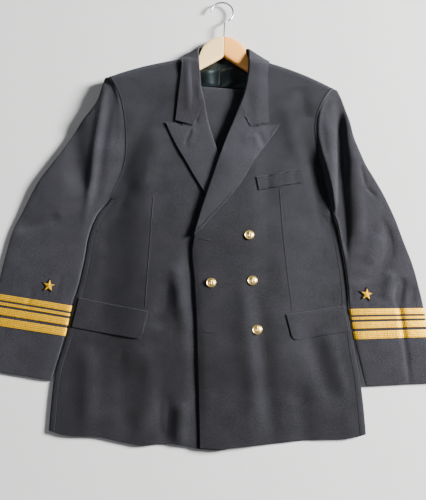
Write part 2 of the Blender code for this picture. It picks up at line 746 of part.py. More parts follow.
def collar(name):
    """Stand, turned edge and fall in one strip round the neck, from notch to notch."""
    table = collar_columns()
    last = len(table) - 1
    at = np.array(COLLAR_STATIONS)
    at = np.concatenate([at, last - at[:-1][::-1]])
    shares = np.array([0.0, 0.2, 0.476, 0.75, 1.0])
    grid = []
    for i, place in enumerate(at):
        row = np.array([curve(place, np.arange(last + 1), table[:, j]) for j in range(10)])
        roll, edge, neck, turn = row[0:3], row[3:6], row[6:9], math.radians(row[9])
        right = place < last / 2
        on_front = min(place, last - place) <= FLAT_END
        lift = LAPEL_STEP + SHOULDER_LIFT * float(smooth_step(min(place, last - place), 3, 4))
        surface = front if right else left_front
        out = edge[:2] - roll[:2]
        lean = out / np.linalg.norm(out)
        side_way = np.array([-lean[1], lean[0]]) * (1 if not right else -1)
        normal = np.array([*(side_way * math.sin(turn)), math.cos(turn)])
        away = (roll - edge) / np.linalg.norm(roll - edge)
        radius = COLLAR_RADIUS
        centre = roll - normal * radius - away * radius
        points = [neck, neck * 0.5 + (centre - normal * radius) * 0.5]
        for angle in np.radians((-90, -45, 0, 45)):
            points.append(centre + radius * (away * math.cos(angle) + normal * math.sin(angle)))
        top = centre + normal * radius
        end_fade = max(0.0, 1 - min(i, len(at) - 1 - i) / 3)
        notch = np.array(RIGHT_NOTCH if right else LEFT_NOTCH)
        for share in shares:
            point = top + (edge - top) * share
            point[:2] = bent(top[:2], edge[:2], notch, share, end_fade)
            if on_front:
                point[2] = max(point[2], float(surface(point[0], point[1])) + lift)
            points.append(point)
        grid.append(points)
    obj = grid_object(name, np.array(grid, float), WOOL_FINISH, WALL)
    orient_collar(obj)
    return obj


def orient_collar(obj):
    """The fall on the front faces up."""
    total = sum(f.normal.z * f.area for f in obj.data.polygons if f.center.z > 0.026)
    if total < 0:
        obj.data.flip_normals()


def patch(name, corners, surface, lift, wall, material, cells):
    """A four-cornered piece lying on a panel: made from the panel's heights, moved out."""
    a, b, c, d = (np.array(corner, float) for corner in corners)
    s = np.linspace(0, 1, cells[0])[None, :, None]
    t = np.linspace(0, 1, cells[1])[:, None, None]
    place = (a + (b - a) * s) * (1 - t) + (d + (c - d) * s) * t
    z = surface(place[..., 0], place[..., 1]) + lift
    return grid_object(name, np.dstack([place, z]), material, wall, up=True)


def turned(name, profile, place, material, steps=16):
    """A turned piece: a profile of radius and height, spun by a Screw modifier."""
    mesh = bpy.data.meshes.new(name)
    points = [(radius * MM, 0, height * MM) for radius, height in profile]
    mesh.from_pydata(points, [(i, i + 1) for i in range(len(points) - 1)], [])
    mesh.materials.append(material)
    obj = bpy.data.objects.new(name, mesh)
    obj.location = ((place[0] - CENTRE_X) * MM, (place[1] - CENTRE_Y) * MM, place[2] * MM)
    screw = obj.modifiers.new("turn", "SCREW")
    screw.steps = steps
    screw.render_steps = steps
    screw.use_merge_vertices = True
    screw.merge_threshold = 0.00001
    SUIT.objects.link(obj)
    return obj


def star(name, place, radius, low, high, material, ridge):
    """A five-pointed star, flat underneath, with its middle raised by ridge."""
    mesh = bpy.data.meshes.new(name)
    ring = []
    for i in range(10):
        reach = radius if i % 2 == 0 else radius * 0.42
        angle = math.radians(90 + 36 * i)
        ring.append((reach * math.cos(angle) + place[0], reach * math.sin(angle) + place[1]))
    points = [(x, y, low) for x, y in ring] + [(x, y, high) for x, y in ring]
    points += [(place[0], place[1], low), (place[0], place[1], high + ridge)]
    faces = []
    for i in range(10):
        j = (i + 1) % 10
        faces += [(i, j, 10 + j, 10 + i), (10 + i, 10 + j, 21), (j, i, 20)]
    shifted = [((x - CENTRE_X) * MM, (y - CENTRE_Y) * MM, z * MM) for x, y, z in points]
    mesh.from_pydata(shifted, [], faces)
    mesh.materials.append(material)
    obj = bpy.data.objects.new(name, mesh)
    SUIT.objects.link(obj)
    return obj


def hanger_arm(name, side):
    """Half of the hanger: rounded sections along the arm, cut for the hook and the bar."""
    at = np.array(ARM_STATIONS)
    knots = column(ARM, 0)
    angle = np.radians(np.arange(12) * 30 + 15)
    shape = np.stack([np.cos(angle), np.sin(angle)], -1)
    shape = np.sign(shape) * np.abs(shape) ** 0.45
    rings = []
    for a in at:
        top, bottom, z, depth = (np.interp(a, knots, column(ARM, i)) for i in (1, 2, 3, 4))
        if a < ARC_RADIUS:
            top = ARC_Y + math.sqrt(ARC_RADIUS**2 - a * a)
        drop = max(0.0, a - ARC_RADIUS) * ARM_SLOPE[side]
        x = HANGER_MID_X + side * (a + SEAM_GAP / 2)
        middle, half = (top + bottom) / 2 - drop, (top - bottom) / 2
        rings.append([(x, middle + p * half, z + q * depth / 2) for p, q in shape])
    return closed_loft(name, np.array(rings, float), BEECH_FINISH)


def closed_loft(name, rings, material):
    """A closed solid through rings of equal point count, with flat ends."""
    count, sides = rings.shape[:2]
    flat = (rings.reshape(-1, 3) - (CENTRE_X, CENTRE_Y, 0)) * MM
    faces = []
    for i in range(count - 1):
        for j in range(sides):
            k = (j + 1) % sides
            faces.append((i * sides + j, i * sides + k, (i + 1) * sides + k, (i + 1) * sides + j))
    faces.append(tuple(reversed(range(sides))))
    faces.append(tuple((count - 1) * sides + j for j in range(sides)))
    mesh = bpy.data.meshes.new(name)
    mesh.from_pydata(flat.tolist(), [], faces)
    mesh.materials.append(material)
    work = bmesh.new()
    work.from_mesh(mesh)
    bmesh.ops.recalc_face_normals(work, faces=work.faces)
    work.to_mesh(mesh)
    work.free()
    obj = bpy.data.objects.new(name, mesh)
    SUIT.objects.link(obj)
    return obj


def rod(name, start, end, radius, material, sides=16):
    """A straight round rod from one place to another."""
    start = (np.array(start, float) - (CENTRE_X, CENTRE_Y, 0)) * MM
    end = (np.array(end, float) - (CENTRE_X, CENTRE_Y, 0)) * MM
    length = float(np.linalg.norm(end - start))
    bpy.ops.mesh.primitive_cylinder_add(vertices=sides, radius=radius * MM, depth=length)
    obj = bpy.context.object
    obj.name = name
    obj.data.name = name
    obj.location = (start + end) / 2
    obj.rotation_euler = Vector(end - start).to_track_quat("Z", "Y").to_euler()
    obj.data.materials.append(material)
    for owner in list(obj.users_collection):
        owner.objects.unlink(obj)
    SUIT.objects.link(obj)
    return obj


def cut(obj, cutter):
    """Takes the cutter's shape out of the object."""
    boolean = obj.modifiers.new("cut " + cutter.name, "BOOLEAN")
    boolean.operation = "DIFFERENCE"
    boolean.object = cutter


def hook(name):
    """The steel hook: a straight stem, a short bend, then two thirds of a ring."""
    points = [(HANGER_MID_X, y, STEM_Z) for y in HOOK_STEM_Y]
    points.append(HOOK_BEND)
    for degrees in np.arange(-62, 179, 15):
        turn = math.radians(degrees)
        x = HOOK_RING[0] + HOOK_RING_RADIUS * math.cos(turn)
        y = HOOK_RING[1] + HOOK_RING_RADIUS * math.sin(turn)
        points.append((x, y, HOOK_RING[2]))
    data = bpy.data.curves.new(name, "CURVE")
    data.dimensions = "3D"
    data.bevel_depth = HOOK_WIRE * MM
    data.bevel_resolution = 2
    data.use_fill_caps = True
    line = data.splines.new("POLY")
    line.points.add(len(points) - 1)
    for point, (x, y, z) in zip(line.points, points):
        point.co = ((x - CENTRE_X) * MM, (y - CENTRE_Y) * MM, z * MM, 1)
    data.materials.append(STEEL_FINISH)
    obj = bpy.data.objects.new(name, data)
    SUIT.objects.link(obj)
    return obj


def trousers_heights(y):
    """Upper and lower skin of the folded trousers at a height."""
    high = TROUSERS_Z + (BAR_Z + TROUSERS_TURN - TROUSERS_Z) * smooth_step(y, 560, 680)
    low = TROUSERS_LOW + (BAR_Z - TROUSERS_TURN - TROUSERS_LOW) * smooth_step(y, 590, 680)
    return high, low


def trousers_half(y):
    """Half the width of the folded leg: narrower at the knee, which lies over the bar."""
    return TROUSERS_HALF - KNEE_IN * smooth_step(y, 200, 680)


def trousers_leg(name):
    """The outer layer of the folded trousers: from its lower end up, round the bar, underneath."""
    top_y = np.array([TROUSERS_END_Y, 240, 330, 420, 500, 570, 620, 655, 681])
    under_y = np.array([681, 650, 610, 560])
    angles = np.radians(np.linspace(75, -75, 6))
    path = [(y, float(trousers_heights(y)[0])) for y in top_y]
    for a in angles:
        path.append((BAR_Y + TROUSERS_TURN * math.cos(a), BAR_Z + TROUSERS_TURN * math.sin(a)))
    path += [(y, float(trousers_heights(y)[1])) for y in under_y]
    across = np.linspace(-1, 1, 6)
    rows = []
    for y, z in path:
        half = float(trousers_half(y))
        lean = BAR_SLOPE * float(smooth_step(y, 400, 660))
        rows.append([(HANGER_MID_X + half * c, y + lean * half * c, z) for c in across])
    return grid_object(name, np.array(rows, float), WOOL_FINISH, WALL, up=True)


def trousers_fold(name):
    """The hidden layers of the folded trousers: one rounded pad with a groove round its edge."""
    ends = np.array([TROUSERS_END_Y + 1, TROUSERS_END_Y + 6, 300, 430, 560, 620, 655, 668])
    swell = (0.55, 1, 1, 1, 1, 1, 1, 0.8)
    profile = ((-0.97, 1), (0.97, 1), (1, 0.5), (0.975, 0), (1, -0.5), (0.97, -1), (-0.97, -1))
    profile += ((-1, -0.5), (-0.975, 0), (-1, 0.5))
    rings = []
    for y, s in zip(ends, swell):
        high, low = trousers_heights(y)
        middle, half = (high + low) / 2, (high - low) / 2 - WALL - LAY_GAP
        wide = float(trousers_half(y)) - 4
        lean = BAR_SLOPE * float(smooth_step(y, 400, 660))
        rings.append(
            [(HANGER_MID_X + wide * p, y + lean * wide * p, middle + half * s * q) for p, q in profile]
        )
    return closed_loft(name, np.array(rings, float), WOOL_FINISH)


def build_jacket():
    """Fronts, back, side panels, sleeves, lapels, collar, lining and pockets."""
    front_panel("front_right", -1, RIGHT_FRONT_EDGE, front)
    front_panel("front_left", 1, LEFT_FRONT_EDGE, left_front)
    for label, side in (("right", -1), ("left", 1)):
        back_panel("back_" + label, side)
        side_panel("side_" + label, side)
        sleeve_half("top_sleeve_" + label, side, False)
        sleeve_half("under_sleeve_" + label, side, True)
        for i, (top, width) in enumerate(LACE):
            lace_band(f"lace_{label}_{i + 1}", side, top, width)
    lapel("lapel_right", RIGHT_LAPEL, RIGHT_LAPEL_NOTCH, front, 560)
    lapel("lapel_left", LEFT_LAPEL, LEFT_LAPEL_NOTCH, left_front, 0)
    collar("collar")


def build_trims():
    """Pocket flaps, welt, buttons and stars."""
    for name, corners in POCKETS.items():
        surface = front if "right" in name else left_front
        patch(name, corners, surface, LAY_GAP + WALL, WALL, WOOL_FINISH, POCKET_CELLS)
    around = (-BUTTON_REACH, 0, BUTTON_REACH)
    for name, x, y in BUTTONS:
        seat = max(float(left_front(x + dx, y + dy)) for dx in around for dy in around)
        turned(name, BUTTON_DOME, (x, y, seat + REST_GAP), GOLD_FINISH)
    for label, (x, y) in STARS.items():
        side = -1 if x < 0 else 1
        offsets = (-STAR_BACKING_RADIUS, 0, STAR_BACKING_RADIUS)
        low = max(sleeve_height(side, x + dx, y + dy) for dx in offsets for dy in offsets) + REST_GAP
        star("star_backing_" + label, (x, y), STAR_BACKING_RADIUS, low, low + 0.9, WOOL_FINISH, 0.0)
        star("star_" + label, (x, y), STAR_RADIUS, low + 1.2, low + 1.8, LACE_FINISH, 1.4)


def sleeve_height(side, x, y):
    """Height of a sleeve's top at a place, from its nearest points."""
    v, turn = np.meshgrid(np.linspace(12, 14, 41), np.linspace(0.1, 0.9, 41))
    points = sleeve(side, v, turn).reshape(-1, 3)
    nearest = np.argmin((points[:, 0] - x) ** 2 + (points[:, 1] - y) ** 2)
    return float(points[nearest, 2])


def build_lining():
    """The lining of the back of the neck, as far as it shows."""
    corners = ((-37, 750), (49, 750), (62, 702), (-50, 702))
    lift = WALL + LINING_WALL + LINING_GAP
    patch("back_lining", corners, back, lift, LINING_WALL, LINING_FINISH, LINING_CELLS)


def bar_end(reach):
    """A place on the bar's axis, at a distance from its middle."""
    return np.array((HANGER_MID_X + reach, BAR_Y + reach * BAR_SLOPE, BAR_Z))


def build_hanger():
    """Two arms, the bar between them and the hook."""
    arms = [hanger_arm("hanger_right", -1), hanger_arm("hanger_left", 1)]
    rod("trouser_bar", bar_end(-BAR_HALF), bar_end(BAR_HALF), BAR_RADIUS, BEECH_FINISH)
    hook("hook")
    reach = BAR_HALF + 1
    bar_cutter = rod("bar_socket", bar_end(-reach), bar_end(reach), BAR_RADIUS + SEAM_GAP, BEECH_FINISH)
    stem = [np.array((HANGER_MID_X, y, STEM_Z)) for y in (HOOK_STEM_Y[0] - 1, ARC_Y + ARC_RADIUS + 7)]
    hook_cutter = rod("hook_socket", stem[0], stem[1], HOOK_WIRE + SEAM_GAP, BEECH_FINISH)
    for cutter in (bar_cutter, hook_cutter):
        SUIT.objects.unlink(cutter)
        CUTTERS.objects.link(cutter)
        cutter.hide_render = True
        cutter.display_type = "WIRE"
        for arm in arms:
            cut(arm, cutter)


clear_scene()
SUIT = collection("naval_suit")
CUTTERS = collection("cutters")
WOOL_FINISH = finish("wool", WOOL, 0.8)
LINING_FINISH = finish("lining", LINING, 0.35)
LACE_FINISH = finish("gold lace", GOLD, 0.45, 0.8)
GOLD_FINISH = finish("gilt", GOLD, 0.25, 1.0)
BEECH_FINISH = finish("beech", BEECH, 0.45)
STEEL_FINISH = finish("steel", STEEL, 0.2, 1.0)

build_jacket()
build_lining()
build_trims()
trousers_leg("trousers_leg")
trousers_fold("trousers_fold")
build_hanger()
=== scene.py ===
"""The cloth, trimmings, hanger and studio of a naval officer's suit laid flat on its back.

Sizes in the tables are millimetres: x to the wearer's left, y from the hem's lowest point
towards the collar, z up from the surface that the suit lies on. "Left" and "right" are the
wearer's, and side is -1 for the right and 1 for the left. Every skin is a function of two
parameters on a grid, worked out as whole arrays.
"""

import math

import bpy
import numpy as np
from bpy.props import FloatProperty, FloatVectorProperty, PointerProperty
from mathutils import Matrix, Vector


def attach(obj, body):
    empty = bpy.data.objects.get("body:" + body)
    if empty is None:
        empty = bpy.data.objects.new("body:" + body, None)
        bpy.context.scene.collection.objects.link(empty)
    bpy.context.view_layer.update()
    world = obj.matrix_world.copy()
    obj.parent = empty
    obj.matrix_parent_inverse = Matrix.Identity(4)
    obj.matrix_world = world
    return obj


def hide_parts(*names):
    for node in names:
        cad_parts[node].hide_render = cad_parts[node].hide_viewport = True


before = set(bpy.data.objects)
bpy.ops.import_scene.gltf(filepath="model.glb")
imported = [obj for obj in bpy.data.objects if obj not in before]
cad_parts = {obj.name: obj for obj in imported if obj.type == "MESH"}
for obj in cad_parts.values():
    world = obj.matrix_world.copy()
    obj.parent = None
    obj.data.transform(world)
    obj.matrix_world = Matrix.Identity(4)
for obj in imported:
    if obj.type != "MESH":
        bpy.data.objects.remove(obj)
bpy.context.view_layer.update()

bl_info = {
    "name": "Naval officer's suit on a hanger",
    "version": (1, 0, 0),
    "blender": (4, 5, 0),
    "location": "3D View > Sidebar > Naval Suit",
    "description": "Cloth, gold lace, buttons, trousers, hanger and studio of a laid-out naval suit",
    "category": "Add Mesh",
}

MM = 0.001
SIDES = {"right": -1, "left": 1}
# The place in the tables that lies at the origin.
MIDDLE = np.array((3.0, 445.5, 0.0))

# Heights of the jacket's front, and the spans over which they change.
SIDE_Z = 7.2
CHEST_Z = 24.0
CHEST_FROM_Y = (96, 172)
CHEST_WITHIN_X = (-212, -122)
NECK_RISE = 7.0
NECK_RISE_Y = (560, 700)
SHOULDER_Z = 32.0
SHOULDER_RISE_Y = (430, 680)
SHOULDER_ROUND = 18.0
SHOULDER_EDGE = 0.45
SHOULDER_BULGE = 5.5
LEAST_HEIGHT = 2.8
FOLD_DEPTH = 2.1
FOLDS_END_IN = 38.0

# The back, lifted at the neck.
NECK_LIFT = 2.4
NECK_LIFT_Y = (690, 726)
NECK_MIDDLE_X = 5.0
NECK_SPREAD = (58, 90)
NECK_BACK_Y = 766.0
NECK_HALF = 66.0
BACK_HEM_SHORT = 3.0
BACK_SEAM_X = 4.0

# The sides, and the left one's sag under its sleeve.
EDGE_SPLIT = 1.0
EDGE_ROUND = 9.0
SIDE_SEAM_IN = 12.0
SIDE_PANEL_UNDER = 42.0
UNDER_NARROWS_Y = 400
UNDER_LEAST = 0.15
PANEL_GAP = 0.2
UNDERARM_Y = 455.0
UNDERARM_FADE = 70.0
SIDE_SAG = 3.9
SAG_Y = ((225, 275), (425, 470))
SAG_END_IN = 62.0

# The left front lies over the right one, and over the right lapel's lower end.
OVERLAP_STEP = 3.4
OVERLAP_END_X = 72.0
OVERLAP_FADE = 34.0
HIDDEN_LAPEL_LIFT = 2.0
HIDDEN_LAPEL_Y = ((350, 398), (560, 640))
HIDDEN_LAPEL_X = 20.0
HIDDEN_LAPEL_HALF = (42, 84)
UNDER_FRONT_SHOWS = 2.0
UNDER_FRONT_SHOWS_X = (-30, -10)

# Outer edge of the body where no sleeve lies beside it: y, right x, left x.
BODY_EDGE = (
    (0, -282, 290), (26, -282, 288), (80, -282, 284), (109, -281, 281), (137, -278, 278),
    (165, -271, 273), (195, -264.8, 267.6),
)
BESIDE_SLEEVE_Y = 195.0
SLEEVE_GAP = 1.9
SLEEVE_GAP_CLOSES = 1.5
SLEEVE_GAP_Y = (262, 285)

# Hem at the right and the left side seam, and the whole hem: x, y.
HEM_SIDE_Y = {-1: 21.0, 1: 31.0}
HEM = (
    (-285, 23), (-265, 17), (-187, 13), (-140, 5), (-120, 2), (-74, 7), (-10, 2), (33, 2), (60, 6),
    (99, 11), (171, 21), (229, 26), (263, 29), (290, 37),
)

# Front edge, roll line and neckline of each front: y, x.
FRONT_EDGE = {
    -1: (
        (0, 36), (150, 52), (300, 62), (380, 62), (415, 49), (450, 36), (485, 23), (520, 10),
        (554, -2), (586, -14), (615, -23), (648, -33), (686, -46), (717, -56.5), (754, -68.5),
    ),
    1: (
        (0, -10), (151, -20), (245, -27), (305, -33), (363, -39), (384, -36), (425, -23),
        (470, -12), (504, 0), (544, 11), (580, 21), (616, 33), (649, 45), (686, 61), (717, 71.5),
        (756, 82.5),
    ),
}

# Sleeve stations, from shoulder to cuff: inner x, inner y, outer x, outer y, top height.
SLEEVES = {
    -1: (
        (-219, 708, -231, 705, 16.6), (-205, 686, -235, 681, 27), (-193, 661, -240, 657, 29),
        (-185, 633, -252.5, 634, 28), (-180, 605, -268, 612, 26), (-177, 575, -281, 588, 24),
        (-177, 545, -301, 552, 22), (-181, 518, -321, 522, 19), (-190, 488, -342, 488, 17),
        (-203, 458, -355, 460, 15), (-226, 423, -369, 424, 13), (-239, 382, -384, 386, 11),
        (-244, 332, -393, 340, 10), (-251, 285, -399, 296, 9.5), (-260, 247, -403, 265, 8.8),
        (-268, 190, -407, 206, 8.6), (-285, 109, -411, 124, 7.0),
    ),
    1: (
        (226, 701, 238, 697, 16.6), (210, 678, 246, 674, 27), (198, 653, 254, 650, 29),
        (191, 626, 262, 627, 28), (191, 598, 269, 600, 26), (196, 570, 280, 572, 24),
        (203, 543, 293, 543, 22), (210, 516, 309, 517, 19), (217, 488, 325, 489, 17),
        (224, 458, 339, 460, 15), (237, 425, 352, 430, 13), (244, 390, 365, 393, 11),
        (251, 350, 380, 352, 10), (256, 310, 390, 312, 9.5), (260, 261, 399, 268, 8.8),
        (269, 204, 406, 214, 8.6), (288, 121, 417, 132, 7.0),
    ),
}
# Where the back seam of a sleeve runs: station, turn round the ring.
BACK_SEAM = ((0, -0.30), (4, -0.25), (6, -0.18), (7, 0.0), (8, 0.18), (10, 0.25), (16, 0.31))
FOREARM_SEAM = 0.2
# Half the gap between two pieces at a seam that shows, and at one pressed flat.
OPEN_SEAM = 0.15
PRESSED_SEAM = 0.02
PRESSED_EDGE = 0.2
# Radii of the edges of lapels, collar and trousers, and of the edges at the notch.
SOFT_EDGE = 1.2
NOTCH_EDGE = 0.8
ARMHOLE_GAP = 0.3
# The sleeve head: gap and height at its tip, its roll, and the last station of the armhole.
HEAD_TIP_GAP = 0.5
HEAD_TIP_Z = 12.0
HEAD_ROLL = 2.2
HEAD_ROLL_AT = 0.1
HEAD_ROLL_WIDTH = 0.07
SLEEVE_SLACK = 0.8
CAP_END = 9
# Height of a sleeve's outer edge as a share of its top, and the least height underneath.
TIP_SHARE = 0.45
LEAST_UNDER = 0.1
HEAD_UNDER = 1.2
# Share of the sleeve's width over which its head comes level with the front.
SEAT_SHARE = {-1: 0.35, 1: 0.08}

# Gold lace: distance of each band's upper edge below the first, width. The sleeve is lifted
# under it between these stations.
LACE = ((0.0, 14.0), (17.5, 7.0), (28.0, 14.0), (46.0, 14.0))
LACE_TOP_STATION = 14
LACE_SPAN = 60.0
LACE_TRIM = 0.5
LACE_OUT = 1.5
LACE_EDGE_DROP = 0.35
UNDER_LIFT = 1.7
UNDER_LIFT_STATIONS = ((13.0, 13.8), (15.2, 15.7))

# Collar stations from the right notch round the back to the left notch: roll edge, outer edge
# and neck seam, each x, y, z (None follows the front), and the turn of the fall in degrees.
COLLAR = (
    (-26.5, 651, 33.5, -84, 615, None, -30.5, 656, 25.5, 0),
    (-31, 669, 34.5, -82, 643, None, -38.5, 671, 26.5, 0),
    (-36, 690, 35.5, -80, 676, None, -46.0, 692, 27.0, 0),
    (-39, 717, 36.0, -78, 708, None, -54.0, 716, 27.0, 0),
    (-42, 744, 34.0, -77, 734, None, -62.0, 742, 24.5, 8),
    (-45, 780, 20.0, -80, 758, 14, -65.0, 759, 17, 90),
    (-37, 787, 2.4, -66, 746, 0.3, -53, 764, 6.3, 170),
    (-17, 788, 0.0, -30, 742, 0.0, -24, 769, 6.2, 180),
    (5, 789, 0.0, 5, 741, 0.0, 5, 770, 6.2, 180), (27, 788, 0.0, 42, 742, 0.0, 34, 769, 6.2, 180),
    (49, 787, 2.4, 82, 746, 0.3, 65, 764, 6.3, 170), (57, 780, 20.0, 100, 757, 14, 80, 759, 17, 90),
    (56, 744, 34.0, 95, 733, None, 77.5, 742, 24.5, 8),
    (55, 718, 36.0, 94.5, 706, None, 69.5, 716, 27.0, 0),
    (52.5, 697, 35.5, 96, 676, None, 62.5, 697, 27.0, 0),
    (48, 675, 34.5, 97.5, 645, None, 54.0, 678, 26.5, 0),
    (40.5, 651.5, 33.5, 99, 618, None, 44, 656, 25.5, 0),
)
COLLAR_RADIUS = 2.4
COLLAR_NOTCH = {-1: (-48.5, 606.0), 1: (62.6, 607.5)}
SHOULDER_LIFT = 1.2

# Lapels from the gorge to the break: roll edge x, y and outer edge x, y.
LAPELS = {
    -1: (
        (-26.5, 650, -103.5, 611), (-22.5, 631, -91, 586), (-16, 607, -76, 559),
        (-7, 580, -60, 534), (3, 554, -45, 509), (14, 523, -31, 487), (26, 491, -13, 462),
        (37, 460, 8, 436), (47, 430, 28, 414), (57, 403, 50, 398),
    ),
    1: (
        (40.5, 650.5, 122, 615), (33, 628, 105, 588), (24, 603, 88, 562), (14, 574, 70, 533),
        (5, 545, 51, 496), (-6, 507, 33, 470), (-16, 472, 13, 444), (-26, 436, -6, 421),
        (-34, 403, -25, 399), (-37.5, 388, -36, 386),
    ),
}
LAPEL_NOTCH = {-1: (-48.5, 604.6), 1: (62.6, 606.0)}
NOTCH_FADE = 2.45
GORGE_GAP = 0.03
LAPEL_STEP = 3.2
LAYER_UNDER = 1.6
LEAF_SETTLES_OVER = 22
LAPEL_BELLY = 1.3
COLLAR_BELLY = 1.2
# The roll is tighter below this height, where the other lapel covers it.
ROLL_OPEN_FROM = {-1: 560, 1: 0}
ROLL_OPENS_OVER = 30
ROLL_RADIUS = 3.0
HIDDEN_ROLL_RADIUS = 2.2

# Flaps and welt: corners x, y, in the order top inner, top outer, bottom outer, bottom inner.
POCKETS = {
    "flap_right": ((-114.5, 240), (-247, 262.5), (-256, 207), (-124.5, 188)),
    "flap_left": ((138, 244), (250, 267), (258, 219), (152, 197)),
    "breast_welt": ((77, 505), (170, 528), (172, 501), (83, 479)),
}
POCKET_LIFT = 2.3
FLAP_CORNER = 9.0
LINING_CORNERS = ((-37, 750), (49, 750), (62, 702), (-50, 702))
LINING_LIFT = 4.0

# Buttonholes in the left front: the eye's x, y. Then each button's name, x and y.
BUTTONHOLES = ((-24, 379), (-5, 299), (-7, 207))
EYE_RADIUS = 1.6
SLIT = 19.0
SLIT_HALF = 0.75
BUTTONS = (
    ("button_upper", 67, 390), ("button_middle", 75, 304), ("button_lower", 86, 214),
    ("button_right", -1, 297),
)
BUTTON_RADIUS = 8.8
STARS = {-1: (-304, 282), 1: (291, 289)}
STAR_RADIUS = 11.0
STAR_BACKING_RADIUS = 14.0
STAR_LEAN = -5
STAR_INNER = 0.42
ANCHOR_RELIEF = 0.6
DART_RADIUS = 0.7
STITCH_RADIUS = 0.55

# Folds: from x, y to x, y, bow to the side, width, height (below 0 is a trough).
BODY_FOLDS = (
    (-98, 690, -192, 420, 22, 19, -2.8), (-112, 600, -142, 455, 0, 17, 2.0),
    (-53, 407, -15, 15, -4, 13, -2.4), (-73, 335, -44, 199, 0, 13, 2.5),
    (-75, 300, -99, 206, 0, 17, -2.2), (-160, 190, -134, 9, 8, 17, -1.5),
    (-112, 176, -118, 3, -8, 19, 2.0), (-46, 82, -46, 2, 0, 13, 3.0),
    (-81, 99, -73, 5, 0, 15, -2.0), (-220, 174, -212, 24, 0, 19, 3.0),
    (50, 353, 96, 10, 0, 21, 2.0), (76, 300, 122, 10, 0, 17, -2.2),
    (170, 246, 228, 84, 0, 18, -2.0), (212, 225, 256, 96, 0, 15, 1.3),
    (168, 122, 178, 4, 0, 21, -1.9), (158, 697, 176, 621, 0, 14, -1.5),
    (127, 666, 162, 542, 0, 17, 2.0), (168, 590, 240, 380, 0, 15, -3.0),
)
SLEEVE_FOLDS = (
    (-222, 692, -247, 284, 6, 8, 5.0), (-209, 668, -224, 420, 6, 10, -3.0),
    (-290, 620, -256, 460, 0, 22, -6.5), (-292, 416, -381, 389, 0, 13, -4.0),
    (-275, 509, -331, 387, 0, 27, 2.0), (-283, 304, -288, 262, 0, 4, -1.2),
    (-335, 279, -341, 243, 0, 5, -1.0), (205, 654, 228, 438, -8, 13, 5.0),
    (239, 682, 248, 340, 0, 11, -14.5), (266, 593, 277, 379, -4, 13, 4.0),
    (280, 544, 291, 498, 0, 4, -3.0), (291, 498, 312, 477, 0, 4, -3.0),
    (324, 440, 256, 310, -45, 12, -5.0), (312, 408, 298, 342, 0, 14, 3.0),
    (340, 336, 327, 278, 0, 11, 4.0), (362, 325, 349, 271, 0, 8, -5.0),
    (382, 309, 374, 269, 0, 7, -3.0), (264, 298, 263, 268, 0, 4, -2.0),
    (290, 277, 301, 266, 0, 4, -1.0), (345, 330, 371, 112, 0, 5.5, -2.6),
)
LEAF_FOLDS = (
    (-50, 600, -64, 566, 0, 3.4, -1.7), (-62, 588, -78, 568, 0, 5, 0.7),
    (-55, 742, -43, 604, 0, 5.5, -2.8), (-66, 738, -58, 625, 0, 6, 1.2),
    (-46, 600, -52, 560, 0, 6, 0.9), (80, 598, 96, 560, 0, 5, -1.3), (70, 592, 84, 556, 0, 5, 0.9),
    (84, 566, 74, 544, 0, 3, -0.8), (62, 596, 50, 536, 0, 9, 0.7),
)
WELT_FOLDS = (
    (99, 516, 102, 480, 0, 5.0, -0.7), (112, 518, 114, 484, 0, 5.0, 0.6),
    (128, 522, 130, 488, 0, 5.0, -0.5), (152, 528, 153, 494, 0, 5.0, -0.5),
)
LINING_FOLDS = (
    (1.5, 746, 1.5, 700, 0, 2.4, -1.2), (17, 744, 25, 702, 0, 14, 6.0),
    (-27, 740, -23, 702, 0, 12, 3.8), (-2, 742, -50, 726, 0, 4, 1.4),
)
# Each dart from its point under the chest to the pocket: x and y of both ends, and a bow.
DARTS = {"right": (-118, 460, -121, 247, 0), "left": (124, 483, 151, 250, 3)}
# The cloth's slow waves: change of phase with x and with y, phase, height.
SLACK = (
    (0.031, 0.012, 0.4, 0.62), (-0.017, 0.026, 1.9, 0.62), (0.009, 0.043, 3.1, 0.62),
    (0.052, -0.021, 0.8, 0.28), (0.024, 0.067, 2.2, 0.28), (-0.061, 0.035, 4.4, 0.28),
)

# Trousers and hanger.
TROUSERS_END_Y = 172.0
TROUSERS_Z = 19.6
TROUSERS_HIDDEN_Z = 13.0
TROUSERS_LOW = 2.1
TROUSERS_SHOW_Y = (470, 600)
TOP_TO_BAR_Y = (560, 680)
UNDER_TO_BAR_Y = (590, 680)
TROUSERS_HALF = 118.0
KNEE_IN = 9.0
KNEE_Y = (200, 680)
TROUSERS_TURN = 8.5
TROUSERS_WAVE = 0.35
TROUSERS_WAVE_Y = ((480, 640), (676, 688))
BAR_SLOPE = -0.045
LEAN_Y = (400, 660)
BAR_Y = 685.5
BAR_Z = 13.0
BAR_RADIUS = 6.0
BAR_HALF = 170.0
HANGER_MID_X = 6.0
ARC_Y = 760.0
ARC_RADIUS = 48.5
ARM_SLOPE = {-1: 0.0, 1: 0.018}
ARM_NARROWED = {-1: 3.4, 1: 5.0}
HOOK_WIRE = 1.7
HOOK_PATH = (
    (6.0, 797, 13.2), (6.0, 806, 13.2), (6.0, 818, 13.2), (6.0, 830, 13.2), (6.0, 837, 13.0),
    (7.6, 843.4, 11.4),
)
HOOK_RING = (0.0, 867.0, 9.0)
HOOK_RING_RADIUS = 23.0
# Arm stations from the middle out: distance, upper edge y, lower edge y, middle z, depth.
ARM = (
    (0, 808, 760, 13.2, 11.6), (12, 806, 752, 13.2, 11.6), (24, 799, 744, 13.2, 11.6),
    (35, 790, 737, 13.2, 11.6), (43, 779, 732, 13.3, 11.6), (50, 762, 727, 13.6, 11.4),
    (70, 740, 716, 13.8, 11.0), (100, 734, 708, 13.6, 11.0), (130, 726, 698, 14.4, 11.5),
    (160, 713, 684, 15.6, 12.5), (185, 705, 677, 17.4, 13.0), (200, 698, 676, 18.8, 11.0),
    (205, 692, 682, 19.2, 6.0),
)
